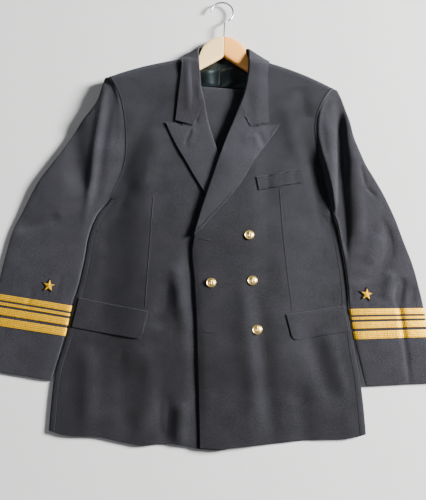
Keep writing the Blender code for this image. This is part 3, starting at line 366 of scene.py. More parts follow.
# The pad of the trousers' hidden layers: distance of each ring above the end, and its swell.
PAD_RINGS = (
    (1, 0.4), (3, 0.8), (8, 1), (68, 1), (128, 1), (188, 1), (258, 1), (328, 1), (388, 1), (428, 1),
    (458, 1), (483, 1), (492, 0.9), (496, 0.6),
)
# How far it stays inside the outer layer's half width and half height.
PAD_IN_X = 4
PAD_IN_Z = 2.5
# Its profile at one edge, between the two flat faces: across and up, as shares.
PAD_EDGE = ((0.985, 0.93), (0.995, 0.75), (1, 0.5), (0.985, 0.2), (0.975, 0))

# The stage, in metres and degrees: each light's place, size and tint, the camera and the floor.
LIGHTS = {
    "key": ((3.55, 1.0, 1.87), 1.2, (1, 0.99, 0.97)),
    "fill": ((-0.9, -0.3, 1.9), 1.8, (0.95, 0.97, 1)),
}
ROOM_TINT = (0.96, 0.97, 1.0, 1)
CAMERA_PLACE = (-0.003, -0.3215, 1.133)
CAMERA_TILT = 12.0
CAMERA_TURN = 2.2
FLOOR_REACH = 6.0
FLOOR_Z = -0.0006

# Numbers of rows and columns of the skins.
LOWER_ROWS = 118
ARMHOLE_ROWS = 86
FRONT_COLUMNS = 150
BACK_COLUMNS = 52
SLEEVE_ROWS = 190
SLEEVE_COLUMNS = {False: 62, True: 36}


# The suit's form


def smooth_step(at, start, end):
    """0 before start, 1 after end, with level ends."""
    t = np.clip((np.asarray(at, float) - start) / (end - start), 0.0, 1.0)
    return t * t * (3.0 - 2.0 * t)


def hill(at, rise, fall):
    """1 between two spans: it rises over the first and falls over the second."""
    return smooth_step(at, *rise) * (1 - smooth_step(at, *fall))


def curve(at, knots, values):
    """A smooth curve through the knots, each with the slope that its neighbours give."""
    knots, values = np.asarray(knots, float), np.asarray(values, float)
    slopes = np.gradient(values, knots)
    at = np.clip(at, knots[0], knots[-1])
    i = np.clip(np.searchsorted(knots, at) - 1, 0, len(knots) - 2)
    span = knots[i + 1] - knots[i]
    t = (at - knots[i]) / span
    start = (1 + 2 * t) * (1 - t) ** 2 * values[i] + t * (1 - t) ** 2 * span * slopes[i]
    end = t * t * (3 - 2 * t) * values[i + 1] - t * t * (1 - t) * span * slopes[i + 1]
    return start + end


def column(table, i):
    """One column of a table."""
    return np.array([row[i] for row in table], float)


def follow(at, table, i=1):
    """A column of a table as a smooth curve over the table's first column."""
    return curve(at, column(table, 0), column(table, i))


def folds(x, y, table):
    """Height that the folds add: a bell across each fold's bowed line, fading at its two ends."""
    height = np.zeros(np.broadcast(x, y).shape)
    for x0, y0, x1, y1, bow, width, rise in table:
        length = math.hypot(x1 - x0, y1 - y0)
        along = ((x - x0) * (x1 - x0) + (y - y0) * (y1 - y0)) / length
        across = ((x - x0) * (y1 - y0) - (y - y0) * (x1 - x0)) / length
        t = np.clip(along / length, 0.0, 1.0)
        across = across - 4.0 * bow * t * (1.0 - t)
        past = np.maximum(np.maximum(-along, along - length), 0.0)
        fade = smooth_step(t, -0.05, 0.22) * smooth_step(1.0 - t, -0.05, 0.22)
        height += rise * fade * np.exp(-((across / width) ** 2) - (past / (2 * width)) ** 2)
    return height


def slack(x, y):
    """The cloth's own small unevenness: six slow waves of unlike lengths and directions."""
    height = np.zeros(np.broadcast(x, y).shape)
    for a, b, start, rise in SLACK:
        height += rise * np.sin(a * x + b * y + start + 0.7 * np.sin(0.019 * y - b * x))
    return height


def between(table, at):
    """Every column of a table, at stations that may lie between two of its rows."""
    return [curve(at, np.arange(len(table)), column(table, i)) for i in range(len(table[0]))]


def body_edge(y, side):
    """Outer edge of the body at a height; beside a sleeve it follows the sleeve's inner edge."""
    low = follow(y, BODY_EDGE, 1 if side < 0 else 2)
    table = SLEEVES[side][::-1]
    gap = SLEEVE_GAP - SLEEVE_GAP_CLOSES * smooth_step(y, *SLEEVE_GAP_Y)
    beside = curve(y, column(table, 1), column(table, 0)) - side * gap
    return np.where(np.asarray(y) > BESIDE_SLEEVE_Y, beside, low)


def shoulder_line(x):
    """Where the shoulder's edge lies over a place across: from neck to tip, bulged a little."""
    x = np.asarray(x, float)
    lines = []
    for side in (-1, 1):
        tip_x, tip_y = SLEEVES[side][0][:2]
        neck_y, neck_x = FRONT_EDGE[side][-1]
        t = np.clip((x - neck_x) / (tip_x - neck_x), 0, 1)
        lines.append(neck_y + t * (tip_y - neck_y) + SHOULDER_BULGE * 4 * t * (1 - t))
    return np.where(x < 0, *lines)


def level(x, y):
    """Height of the jacket's front before folds and edges: low sides, chest and shoulders up."""
    shoulders = SIDE_Z + (SHOULDER_Z - SIDE_Z) * smooth_step(y, *SHOULDER_RISE_Y)
    middle = CHEST_Z + NECK_RISE * smooth_step(y, *NECK_RISE_Y)
    share = smooth_step(-np.abs(x), *CHEST_WITHIN_X) * smooth_step(y, *CHEST_FROM_Y)
    return shoulders + (middle - shoulders) * share


def shoulder_edge_z(x, y):
    """Height of the shoulder seam, where front and back meet."""
    return SHOULDER_EDGE * level(x, y)


def edge_share(x, y):
    """1 inside the body, 0 at its sides, so that folds end before the side seam."""
    side = np.where(np.asarray(x) < 0, -body_edge(y, -1), body_edge(y, 1))
    share = smooth_step(side - np.abs(x), SIDE_SEAM_IN, FOLDS_END_IN)
    return share + (1 - share) * smooth_step(y, UNDERARM_Y, UNDERARM_Y + UNDERARM_FADE)


def under_sleeve_sag(x, y):
    """How far the left edge of the body sinks where the sleeve lies against it."""
    inwards = body_edge(y, 1) - np.asarray(x)
    sag = SIDE_SAG * hill(y, *SAG_Y) * (1 - smooth_step(inwards, SIDE_SEAM_IN, SAG_END_IN))
    return sag * (np.asarray(x) > 0)


def front(x, y):
    """Outer surface of the right front, and of the left one where it isn't doubled."""
    creased = FOLD_DEPTH * folds(x, y, BODY_FOLDS) + slack(x, y)
    height = level(x, y) + creased * edge_share(x, y) - under_sleeve_sag(x, y)
    height = np.maximum(height, LEAST_HEIGHT)
    drop = np.clip(1 - (shoulder_line(x) - y) / SHOULDER_ROUND, 0, 1)
    edge = shoulder_edge_z(x, y)
    return edge + (height - edge) * np.sqrt(1 - drop * drop)


def left_front(x, y):
    """Outer surface of the left front, which lies higher where it covers the other one."""
    over = 1 - smooth_step(x, OVERLAP_END_X, OVERLAP_END_X + OVERLAP_FADE)
    beside = smooth_step(np.abs(x - HIDDEN_LAPEL_X), *HIDDEN_LAPEL_HALF)
    lapel_under = hill(y, *HIDDEN_LAPEL_Y) * (1 - beside)
    return front(x, y) + (OVERLAP_STEP * over + HIDDEN_LAPEL_LIFT * lapel_under)


FRONTS = {-1: front, 1: left_front}


def back(x, y):
    """Outer, lower surface of the back: on the floor, lifted at the neck and at the shoulders."""
    near = np.clip(1 - (shoulder_line(x) - y) / SHOULDER_ROUND, 0, 1)
    outside = smooth_step(np.abs(x - NECK_MIDDLE_X), *NECK_SPREAD)
    rise = shoulder_edge_z(x, y) * (1 - np.sqrt(1 - near * near))
    neck = NECK_LIFT * smooth_step(y, *NECK_LIFT_Y)
    return rise * outside + neck * (1 - outside) + neck * outside * (1 - near)


def sleeve(side, v, turn, out=0.0):
    """A point of a sleeve's skin, or of a skin that lies further out.

    v is the station. turn goes round the ring: 0 at the outer edge, 1 at the inner edge over
    the top, and below 0 underneath. Each half is a flattened arch, and the head is open where
    it meets the armhole, at the heights of the front and of the back there.
    """
    turn = np.where(turn > 1, turn - 2, turn)
    share = (1 + np.cos(np.pi * turn)) / 2
    in_x, in_y, out_x, out_y, top = between(SLEEVES[side], v)
    head_close = 1 - smooth_step(v, 0, 1)
    in_x = in_x + side * (ARMHOLE_GAP + HEAD_TIP_GAP * head_close)
    tip = TIP_SHARE * top
    in_x, out_x, top = in_x - side * out, out_x + side * out, top + out
    x = in_x + (out_x - in_x) * share
    y = in_y + (out_y - in_y) * share
    open_head = 1 - smooth_step(v, CAP_END, CAP_END + 1)
    arch = (1 - np.abs(2 * share - 1) ** 4) ** 0.25
    arch = np.where(share < 0.5, open_head + (1 - open_head) * arch, arch)
    seat = smooth_step(share, 0, SEAT_SHARE[side])
    upper = front(in_x, in_y) * (1 - seat) + top * seat
    upper = np.where(open_head > 0, upper * open_head + top * (1 - open_head), top)
    creased = folds(x, y, SLEEVE_FOLDS) + SLEEVE_SLACK * slack(x, y)
    roll = HEAD_ROLL * np.exp(-(((share - HEAD_ROLL_AT) / HEAD_ROLL_WIDTH) ** 2))
    creased = creased + roll * open_head
    upper = upper + creased * seat * smooth_step(v, 0.5, 1.5) + EDGE_SPLIT * head_close
    lower = UNDER_LIFT * hill(v, *UNDER_LIFT_STATIONS) - out
    at_tip = back(in_x, in_y) * (1 - seat) + HEAD_TIP_Z * seat - EDGE_SPLIT
    lower = np.maximum(lower + at_tip * head_close, LEAST_UNDER + HEAD_UNDER * open_head)
    upper = np.maximum(upper, tip + 1.0)
    z = np.where(turn >= 0, tip + (upper - tip) * arch, tip - (tip - lower) * arch)
    return grid_of(x, y, z)


# Meshes


def arc_lengths(points, axis):
    """Distance along a grid's rows or columns, averaged over the others, in metres."""
    steps = np.linalg.norm(np.diff(points, axis=axis), axis=-1).mean(axis=1 - axis)
    return np.concatenate([[0.0], np.cumsum(steps)]) * MM


def grid_of(x, y, z):
    """A grid of points from their three parts, of which some may run one way only."""
    return np.stack(np.broadcast_arrays(x, y, z), axis=-1)


def unit(vectors):
    """Vectors of length one."""
    return vectors / np.maximum(np.linalg.norm(vectors, axis=-1, keepdims=True), 1e-9)


def rim(points, sides, radius, steps=4):
    """Turns the edges of a grid in by a quarter round, as cloth turns at its edge.

    At an edge point P with the inward way d and the outward normal n, the new points are
    P + d r (1 - cos a) - n r (1 - sin a), with a from 0 to 90 degrees.
    """
    for side in sides:
        grid = points.swapaxes(0, 1) if "column" in side else points
        grid = grid[::-1] if "last" in side else grid
        edge, inward = grid[0], unit(grid[1] - grid[0])
        normal = unit(np.cross(unit(np.gradient(edge, axis=0)), inward))
        upper = edge[:, 2] >= np.median(edge[:, 2])
        if (normal[upper, 2].sum() < 0) != side.endswith("below"):
            normal = -normal
        angles = np.linspace(0, np.pi / 2, steps)[:, None, None]
        turned = edge + inward * radius * (1 - np.cos(angles)) - normal * radius * (1 - np.sin(angles))
        # One more line close to the turn keeps the shading of the turn off the wide faces.
        width = np.linalg.norm(grid[1] - grid[0], axis=-1, keepdims=True)
        beside = edge + inward * np.minimum(radius + 0.5, (radius + width) / 2)
        grid = np.concatenate([turned, beside[None], grid[1:]], axis=0)
        grid = grid[::-1] if "last" in side else grid
        points = grid.swapaxes(0, 1) if "column" in side else grid
    points[..., 2] = np.maximum(points[..., 2], LEAST_UNDER)
    return points


def outer_way(points, corner, normal, facing, wrap, level_above):
    """Whether the faces' normals already point out of the piece."""
    centre = corner.mean(axis=1)
    if wrap:
        ring = points.mean(axis=1)
        outwards = centre - np.repeat((ring[:-1] + ring[1:]) / 2, points.shape[1], axis=0)
        return (normal * outwards).sum() > 0
    if facing == "side":
        outwards = (centre - points.reshape(-1, 3).mean(axis=0)) * (1, 0, 1)
        return (normal * outwards).sum() > 0
    seen = corner[:, 0, 2] >= level_above
    return (normal[seen, 2].sum() > 0) == (facing == "up")


def mesh_of(name, points, wrap, caps, facing, level_above, plan):
    """A mesh of the grid's faces, with a UV map in metres along its rows and columns.

    A grid that wraps joins its last column to its first, and caps close its two ends. Of the
    others, facing is "up", "down" or "side": the way that the outer skin faces, there where it
    is above a level. A panel that lies flat has the place in plan as its UV map, so that its
    weave runs straight over its whole width.
    """
    rows, columns = points.shape[:2]
    index = np.arange(rows * columns).reshape(rows, columns)
    u, v = arc_lengths(points, 1), arc_lengths(points, 0)
    if wrap:
        index = np.concatenate([index, index[:, :1]], axis=1)
        u = np.append(u, u[-1] + u[1])
    quads = np.stack([index[:-1, :-1], index[:-1, 1:], index[1:, 1:], index[1:, :-1]], -1)
    quads = quads.reshape(-1, 4)
    places = points[..., :2] * MM if plan else np.stack(np.meshgrid(u, v), -1)
    uv = np.stack([places[:-1, :-1], places[:-1, 1:], places[1:, 1:], places[1:, :-1]], 2)
    uv = uv.reshape(-1, 4, 2)
    flat = points.reshape(-1, 3)
    corner = flat[quads]
    normal = np.cross(corner[:, 2] - corner[:, 0], corner[:, 3] - corner[:, 1])
    right_way = outer_way(points, corner, normal, facing, wrap, level_above)
    if not right_way:
        quads, uv = quads[:, ::-1], uv[:, ::-1]
    loops, starts, loop_uv = [quads.reshape(-1)], np.arange(len(quads)) * 4, [uv.reshape(-1, 2)]
    if caps:
        # The end faces run the other way round at the first ring than at the last one.
        first, last = index[0, :columns], index[-1, :columns]
        ends = (first[::-1], last) if right_way else (first, last[::-1])
        loops += ends
        starts = np.append(starts, [len(quads) * 4, len(quads) * 4 + columns])
        loop_uv += [(flat[end, :2] + flat[end, 2:]) * MM for end in ends]
    loops = np.concatenate(loops)
    mesh = bpy.data.meshes.new(name)
    mesh.vertices.add(len(flat))
    mesh.vertices.foreach_set("co", ((flat - MIDDLE) * MM).astype(np.float32).reshape(-1))
    mesh.loops.add(len(loops))
    mesh.loops.foreach_set("vertex_index", loops.astype(np.int32))
    mesh.polygons.add(len(starts))
    mesh.polygons.foreach_set("loop_start", starts.astype(np.int32))
    mesh.update(calc_edges=True)
    # The open border is sharp, so that the wall behind it doesn't bend the skin's shading.
    uses = np.empty(len(loops), np.int32)
    mesh.loops.foreach_get("edge_index", uses)
    border = np.bincount(uses, minlength=len(mesh.edges)) == 1
    mesh.attributes.new("sharp_edge", "BOOLEAN", "EDGE").data.foreach_set("value", border)
    layer = mesh.uv_layers.new(name="cloth")
    layer.uv.foreach_set("vector", np.concatenate(loop_uv).astype(np.float32).reshape(-1))
    return mesh


def piece(node, kind, points, material, wall=0.0, facing="up", wrap=False, level_above=-1e9,
          smooth=True, plan=False):
    """An object from a grid of points in millimetres, riding on the suit in its node's place.

    It has a wall of that thickness, or else it is solid. With no kind it replaces no node.
    """
    name = f"{node}_{kind}" if kind else node
    mesh = mesh_of(name, points, wrap, wrap and not wall, facing, level_above, plan)
    if smooth:
        mesh.shade_smooth()
    mesh.materials.append(material)
    obj = bpy.data.objects.new(name, mesh)
    bpy.context.scene.collection.objects.link(obj)
    if wall:
        solid = obj.modifiers.new("wall", "SOLIDIFY")
        solid.thickness = wall * MM
        solid.offset = -1
        solid.use_even_offset = False
    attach(obj, "root")
    if kind:
        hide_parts(node)
    return obj


# Skins of the pieces


def rising(y):
    """0 at the first of the heights and 1 at the last."""
    return (y - y[0]) / (y[-1] - y[0])


def hemmed(x, y, share, lift=0.0):
    """Heights of a grid whose first row is moved onto the hem, and each further one less."""
    hem = follow(x[0], HEM) + lift
    return y + (hem - y[0])[None, :] * (1 - share[:, None]) ** 4


def under_ease(y):
    """How much of the side panel lies underneath: it narrows towards the underarm."""
    return np.maximum(1 - smooth_step(y, UNDER_NARROWS_Y, UNDERARM_Y), UNDER_LEAST)


def panel_rows(side):
    """Outer ends of a front's or back's rows: side seam, then armhole, from hem to shoulder."""
    low = np.linspace(HEM_SIDE_Y[side], UNDERARM_Y, LOWER_ROWS)
    seam_x = body_edge(low, side) - side * (SIDE_SEAM_IN + PANEL_GAP)
    v = CAP_END * (1 - np.linspace(0, 1, ARMHOLE_ROWS)) ** 1.3
    in_x, in_y = between(SLEEVES[side], v)[:2]
    return np.concatenate([seam_x, in_x - side * PANEL_GAP]), np.concatenate([low, in_y])


def front_points(side):
    """One front: rows run from its front edge or roll line to the side seam or armhole."""
    out_x, out_y = panel_rows(side)
    share = rising(out_y)
    inner_y = share * FRONT_EDGE[side][-1][0]
    inner_x = follow(inner_y, FRONT_EDGE[side])
    u = np.linspace(0, 1, FRONT_COLUMNS)[None, :]
    x = inner_x[:, None] + (out_x - inner_x)[:, None] * u
    bulge = SHOULDER_BULGE * 4 * u * (1 - u) * share[:, None] ** 6
    y = inner_y[:, None] + (out_y - inner_y)[:, None] * u + bulge
    shown = UNDER_FRONT_SHOWS * smooth_step(x[0], *UNDER_FRONT_SHOWS_X) if side < 0 else 0.0
    y = hemmed(x, y, share, -shown)
    z = FRONTS[side](x, y)
    z[-1] = shoulder_edge_z(x[-1], y[-1]) + EDGE_SPLIT + z[-1] - front(x[-1], y[-1])
    return grid_of(x, y, z)


def back_points(side):
    """One half of the back, from the centre seam to the side panel and the armhole."""
    out_x, out_y = panel_rows(side)
    under = (SIDE_PANEL_UNDER - SIDE_SEAM_IN) * under_ease(out_y)
    out_x = np.where(out_y <= UNDERARM_Y, out_x - side * under, out_x)
    share = rising(out_y)
    inner_y = share * NECK_BACK_Y
    u = np.linspace(0, 1, BACK_COLUMNS)[None, :] ** 0.9
    seam_x = BACK_SEAM_X + side * OPEN_SEAM
    x = seam_x + (out_x[:, None] - seam_x) * u
    y = inner_y[:, None] + (out_y - inner_y)[:, None] * u
    y = hemmed(x, y, share, BACK_HEM_SHORT)
    shoulder = np.abs(x[-1] - HANGER_MID_X) > NECK_HALF
    top = np.where(shoulder, shoulder_line(x[-1]), y[-1])
    y = y + (top - y[-1])[None, :] * share[:, None] ** 6
    z = back(x, y)
    z[-1] = z[-1] - EDGE_SPLIT * shoulder
    return grid_of(x, y, z)[::2]


def side_points(side):
    """The narrow panel that turns round the body's side: over the edge and back underneath."""
    low = np.linspace(HEM_SIDE_Y[side], UNDERARM_Y, LOWER_ROWS)
    edge = body_edge(low, side)
    angle = np.radians(np.linspace(90, -90, 17))[None, :]
    top = front(edge - side * SIDE_SEAM_IN, low)[:, None]
    round_x = edge[:, None] - side * EDGE_ROUND * (1 - np.cos(angle))
    round_z = top / 2 + top / 2 * np.sin(angle)
    seam = edge - side * (SIDE_SEAM_IN - PANEL_GAP)
    reach = SIDE_SEAM_IN + (SIDE_PANEL_UNDER - SIDE_SEAM_IN) * under_ease(low)
    end, bend = edge - side * (reach - ARMHOLE_GAP), edge - side * EDGE_ROUND
    below = bend[:, None] + (end - bend)[:, None] * np.linspace(0.2, 1, 6)[None, :]
    x = np.concatenate([seam[:, None], round_x, below], axis=1)
    z = np.concatenate([top, round_z, 0 * below], axis=1)
    return grid_of(x, hemmed(x, low[:, None], rising(low)), z)


def ring_turns(v, under, count):
    """Places round the ring where a sleeve half has its points, a row for each station."""
    seam = follow(v, BACK_SEAM)[:, None]
    forearm = FOREARM_SEAM * smooth_step(v, CAP_END, CAP_END + 1)[:, None]
    t = np.linspace(0, 1, count)[None, :]
    if under:
        return (-1 + forearm) + (seam + 1 - forearm) * t
    return seam + (1 + forearm - seam) * t


def sleeve_points(side, under):
    """The top or the under sleeve from shoulder to cuff, shortened by the gaps of its seams."""
    v = (len(SLEEVES[side]) - 1) * np.linspace(0, 1, SLEEVE_ROWS) ** 1.12
    points = sleeve(side, v[:, None], ring_turns(v, under, SLEEVE_COLUMNS[under]))
    first, last = (OPEN_SEAM, PRESSED_SEAM) if under else (PRESSED_SEAM, OPEN_SEAM)
    points[:, 0] += unit(points[:, 1] - points[:, 0]) * first
    points[:, -1] += unit(points[:, -2] - points[:, -1]) * last
    return points


def bent(start, end, notch, share, fade):
    """Points from start to end, pulled through the notch by the share fade."""
    before = np.linalg.norm(notch - start, axis=-1, keepdims=True)
    after = np.linalg.norm(end - notch, axis=-1, keepdims=True)
    first = before / (before + after)
    pull = notch - (start + (end - start) * first)
    hat = np.where(share < first, share / first, (1 - share) / (1 - first))
    return start + (end - start) * share + pull * hat * fade


def lapel_points(side):
    """A lapel: a half round at the roll line, then a leaf that settles on its front."""
    surface, table = FRONTS[side], LAPELS[side]
    at = np.linspace(GORGE_GAP, len(table) - 1, 92)
    columns = between(table, at)
    roll, edge = np.stack(columns[:2], -1), np.stack(columns[2:], -1)
    away = unit(roll - edge)
    open_y = ROLL_OPEN_FROM[side]
    opened = smooth_step(roll[:, 1], open_y - ROLL_OPENS_OVER, open_y + ROLL_OPENS_OVER)
    radius = HIDDEN_ROLL_RADIUS + (ROLL_RADIUS - HIDDEN_ROLL_RADIUS) * opened
    seat = roll - away * radius[:, None]
    base = surface(seat[:, 0] - away[:, 0] * 3, seat[:, 1] - away[:, 1] * 3) - LAYER_UNDER
    angles = np.radians(np.linspace(-90, 72, 10))[None, :]
    bend = seat[:, None] + away[:, None] * (radius[:, None] * np.cos(angles))[..., None]
    bend_z = (base + radius)[:, None] + radius[:, None] * np.sin(angles)
    share = np.linspace(0, 1, 46)[None, :, None]
    fade = np.clip(1 - at / NOTCH_FADE, 0, 1)[:, None, None]
    leaf = bent(seat[:, None], edge[:, None], np.array(LAPEL_NOTCH[side]), share, fade)
    width = np.linalg.norm(edge - seat, axis=1)[:, None]
    settle = np.exp(-((share[..., 0] * width / LEAF_SETTLES_OVER) ** 2))
    belly = LAPEL_BELLY * np.sin(np.pi * share[..., 0]) * smooth_step(width, 20, 60)
    lift = LAPEL_STEP + (2 * radius[:, None] - LAYER_UNDER - LAPEL_STEP) * settle + belly
    x, y = leaf[..., 0], leaf[..., 1]
    leaf_z = surface(x, y) + lift + folds(x, y, LEAF_FOLDS)
    leaf_z[:, 0] = (base + 2 * radius + leaf_z[:, 0]) / 2
    grid = np.concatenate([np.dstack([bend, bend_z]), np.dstack([leaf, leaf_z])], axis=1)
    return rim(rim(grid, ("last column",), SOFT_EDGE), ("first row",), NOTCH_EDGE)


def softened(values, reach):
    """Values averaged along the rows of a grid, by a bell that reaches so many rows each way."""
    offsets = np.arange(-2 * reach, 2 * reach + 1)
    share = np.exp(-((offsets / reach) ** 2))
    padded = np.concatenate([values[:1]] * (2 * reach) + [values] + [values[-1:]] * (2 * reach))
    return sum(s * padded[i : i + len(values)] for i, s in enumerate(share / share.sum()))


def collar_points():
    """Stand, turned edge and fall in one strip round the neck, from notch to notch."""
    rows = []
    for i, row in enumerate(COLLAR):
        surface = front if i < len(COLLAR) / 2 else left_front
        seated = float(surface(row[3], row[4])) + LAPEL_STEP if row[5] is None else row[5]
        rows.append((*row[:5], seated, *row[6:]))
    last = len(rows) - 1
    at = np.linspace(0, last, 260)
    values = np.stack(between(rows, at), -1)
    roll, edge, neck = values[:, 0:3], values[:, 3:6], values[:, 6:9]
    turn = np.radians(values[:, 9])[:, None]
    near_end = np.minimum(at, last - at)
    right = (at < last / 2)[:, None]
    lean = unit(edge[:, :2] - roll[:, :2])
    side_way = np.stack([-lean[:, 1], lean[:, 0]], -1) * np.where(right, -1, 1)
    normal = np.concatenate([side_way * np.sin(turn), np.cos(turn)], axis=1)
    away = unit(roll - edge)
    centre = roll - (normal + away) * COLLAR_RADIUS
    stand = neck * 0.5 + (centre - normal * COLLAR_RADIUS) * 0.5
    angles = np.radians(np.linspace(-90, 72, 10))[None, :, None]
    round_edge = away[:, None] * np.cos(angles) + normal[:, None] * np.sin(angles)
    top = centre + normal * COLLAR_RADIUS
    share = np.linspace(0, 1, 30)[None, :, None]
    fall = top[:, None] + (edge - top)[:, None] * share
    fade = np.clip(1 - near_end / 1.4, 0, 1)[:, None, None]
    notch = np.where(right, np.array(COLLAR_NOTCH[-1]), np.array(COLLAR_NOTCH[1]))[:, None]
    fall[..., :2] = bent(top[:, None, :2], edge[:, None, :2], notch, share, fade)
    x, y = fall[..., 0], fall[..., 1]
    lift = LAPEL_STEP + SHOULDER_LIFT * smooth_step(near_end, 3, 4)[:, None]
    belly = COLLAR_BELLY * np.sin(np.pi * share[..., 0])
    belly = belly * (1 - smooth_step(near_end, 3.5, 5))[:, None]
    settled = np.where(right, front(x, y), left_front(x, y)) + lift + belly
    # Round the back of the neck the fall hangs free of the fronts.
    on_front = settled + folds(x, y, LEAF_FOLDS) - 60 * smooth_step(near_end, 4.5, 5.2)[:, None]
    seated_fall = np.maximum(fall[..., 2], on_front)
    fall[..., 2] = np.maximum(seated_fall, softened(seated_fall, 7) - 1.0)
    parts = [neck[:, None], stand[:, None], centre[:, None] + COLLAR_RADIUS * round_edge, fall]
    grid = np.concatenate(parts, axis=1)
    return rim(rim(grid, ("last column",), SOFT_EDGE), ("first row", "last row"), NOTCH_EDGE)


def patch_points(corners, surface, lift, cells, creases, corner_round):
    """A four-cornered piece lying on a panel, at the panel's heights, moved out."""
    a, b, c, d = (np.array(corner, float) for corner in corners)
    s = np.linspace(0, 1, cells[0])[None, :, None]
    t = np.linspace(0, 1, cells[1])[:, None, None]
    place = (a + (b - a) * s) * (1 - t) + (d + (c - d) * s) * t
    near = np.clip(1 - s * np.linalg.norm(c - d) / max(corner_round, 1e-6), 0, 1)
    place = place + unit(a - d) * corner_round * (1 - np.sqrt(1 - near * near)) * t**3
    x, y = place[..., 0], place[..., 1]
    return np.dstack([place, surface(x, y) + lift + folds(x, y, creases)])


def arm_points(side):
    """Half of the hanger: rounded sections along the arm, its end and its middle closed."""
    spans = ((0, 47, 34), (49, 60, 8), (64, 204.9, 60))
    at = np.concatenate([np.linspace(*span) for span in spans])
    angle = np.linspace(0, 2 * np.pi, 40, endpoint=False)
    shape = np.stack([np.cos(angle), np.sin(angle)], -1)
    shape = np.sign(shape) * np.abs(shape) ** 0.5
    top, bottom, z, depth = (np.interp(at, column(ARM, 0), column(ARM, i)) for i in (1, 2, 3, 4))
    top = np.where(at < ARC_RADIUS, ARC_Y + np.sqrt(np.maximum(ARC_RADIUS**2 - at * at, 0)), top)
    drop = np.maximum(at - ARC_RADIUS, 0.0) * ARM_SLOPE[side]
    bottom = bottom + ARM_NARROWED[side] * (1 - smooth_step(at, 55, 120))
    middle, half = (top + bottom) / 2 - drop, (top - bottom) / 2
    x = (HANGER_MID_X + side * (at + 0.15))[:, None]
    y = middle[:, None] + half[:, None] * shape[None, :, 0]
    height = z[:, None] + depth[:, None] / 2 * shape[None, :, 1]
    return grid_of(x, y, height)


def tube_points(path, radius, around=20):
    """A round wire along a path, with the frame carried along it."""
    way = unit(np.gradient(path, axis=0))
    side = unit(np.cross(way, np.array((0.0, 0.0, 1.0))))
    up = np.cross(side, way)
    angle = np.linspace(0, 2 * np.pi, around, endpoint=False)[None, :, None]
    return path[:, None] + radius * (side[:, None] * np.cos(angle) + up[:, None] * np.sin(angle))


def hook_path():
    """The hook's line: the stem, a short bend, then two thirds of a ring."""
    turn = np.radians(np.linspace(-58, 176, 60))
    ring = HOOK_RING + HOOK_RING_RADIUS * np.column_stack([np.cos(turn), np.sin(turn), 0 * turn])
    line = np.concatenate([np.array(HOOK_PATH, float), ring])
    length = np.concatenate([[0], np.cumsum(np.linalg.norm(np.diff(line, axis=0), axis=1))])
    even = np.linspace(0, length[-1], 120)
    return np.stack([curve(even, length, line[:, i]) for i in range(3)], -1)


def dart_path(x0, y0, x1, y1, bow):
    """The line of a dart on the front's surface; the bow is at its middle."""
    t = np.linspace(0, 1, 60)
    length = math.hypot(x1 - x0, y1 - y0)
    aside = 4.0 * bow * t * (1.0 - t)
    x = x0 + (x1 - x0) * t + aside * (y1 - y0) / length
    y = y0 + (y1 - y0) * t - aside * (x1 - x0) / length
    return np.column_stack([x, y, np.where(x < 0, front(x, y), left_front(x, y)) + 0.05])


def buttonhole_path(x, y):
    """A keyhole's outline on the left front: round the eye, then along both lips of the slit."""
    turn = np.radians(np.linspace(25, 335, 40))
    eye = np.stack([x + EYE_RADIUS * np.cos(turn) - 1.0, y + EYE_RADIUS * np.sin(turn)], -1)
    t = np.linspace(0.12, 1, 40)
    lips = [y + up - 0.12 * SLIT * t for up in (SLIT_HALF, -SLIT_HALF)]
    lip, other = (np.stack([x + SLIT * t, lip_y], -1) for lip_y in lips)
    line = np.concatenate([lip[::-1], eye, other])
    return np.column_stack([line, left_front(line[:, 0], line[:, 1]) + 0.25])


def anchor_relief(x, y):
    """Raised lines of a plain anchor: ring, stock, shank and two curved arms."""
    shank = np.hypot(x, np.maximum(np.abs(y + 0.2) - 4.6, 0))
    stock = np.hypot(np.maximum(np.abs(x) - 2.4, 0), y - 3.0)
    ring = np.abs(np.hypot(x, y - 5.6) - 1.1)
    arms = np.abs(np.hypot(x, y - 0.3) - 5.0) + 4.0 * np.maximum(y + 1.8, 0)
    flukes = np.hypot(np.abs(x) - 4.5, y + 1.9) - 0.4
    line = np.minimum.reduce([shank, stock, ring, arms, flukes])
    return ANCHOR_RELIEF * (1 - smooth_step(line, 0.3, 0.9))


def button_points(x, y, seat):
    """A domed button: flat back, rolled rim, a groove, then the dome with its relief."""
    dome = np.linspace(8.9, 0.12, 46)
    radius = np.concatenate([[9.0, 10.6, 11.3, 11.5, 11.4, 11.1, 10.7, 10.2, 9.7, 9.2], dome])
    rolled = [0.0, 0.05, 0.4, 1.0, 1.7, 2.15, 2.3, 2.15, 1.7, 1.45]
    rise = np.concatenate([rolled, 1.5 + 1.9 * (1 - (dome / 9.1) ** 2.4)])
    angle = np.linspace(0, 2 * np.pi, 120, endpoint=False)[None, :]
    px, py = radius[:, None] * np.cos(angle), radius[:, None] * np.sin(angle)
    relief = anchor_relief(px, py) * (radius < 9.0)[:, None]
    size = BUTTON_RADIUS / 11.5
    return grid_of(x + size * px, y + size * py, seat + size * (rise[:, None] + relief))


def star_points(x, y, radius, low, thick, ridge):
    """A five-pointed star: straight sides, and facets that rise to the middle by ridge."""
    corner = np.arange(10)
    reach = np.where(corner % 2 == 0, radius, radius * STAR_INNER)
    angle = np.radians(90 + 36 * corner + STAR_LEAN)
    ring = np.stack([reach * np.cos(angle), reach * np.sin(angle)], -1)
    t = np.linspace(0, 1, 6, endpoint=False)[None, :, None]
    line = (ring[:, None] * (1 - t) + np.roll(ring, -1, axis=0)[:, None] * t).reshape(-1, 2)
    facets = np.linspace(0.985, 0.02, 12)
    size = np.concatenate([[0.97, 1.0], facets])[:, None]
    rise = np.concatenate([[0.0, thick * 0.5], thick + ridge * (1 - facets)])
    return grid_of(x + size * line[:, 0], y + size * line[:, 1], (low + rise)[:, None])


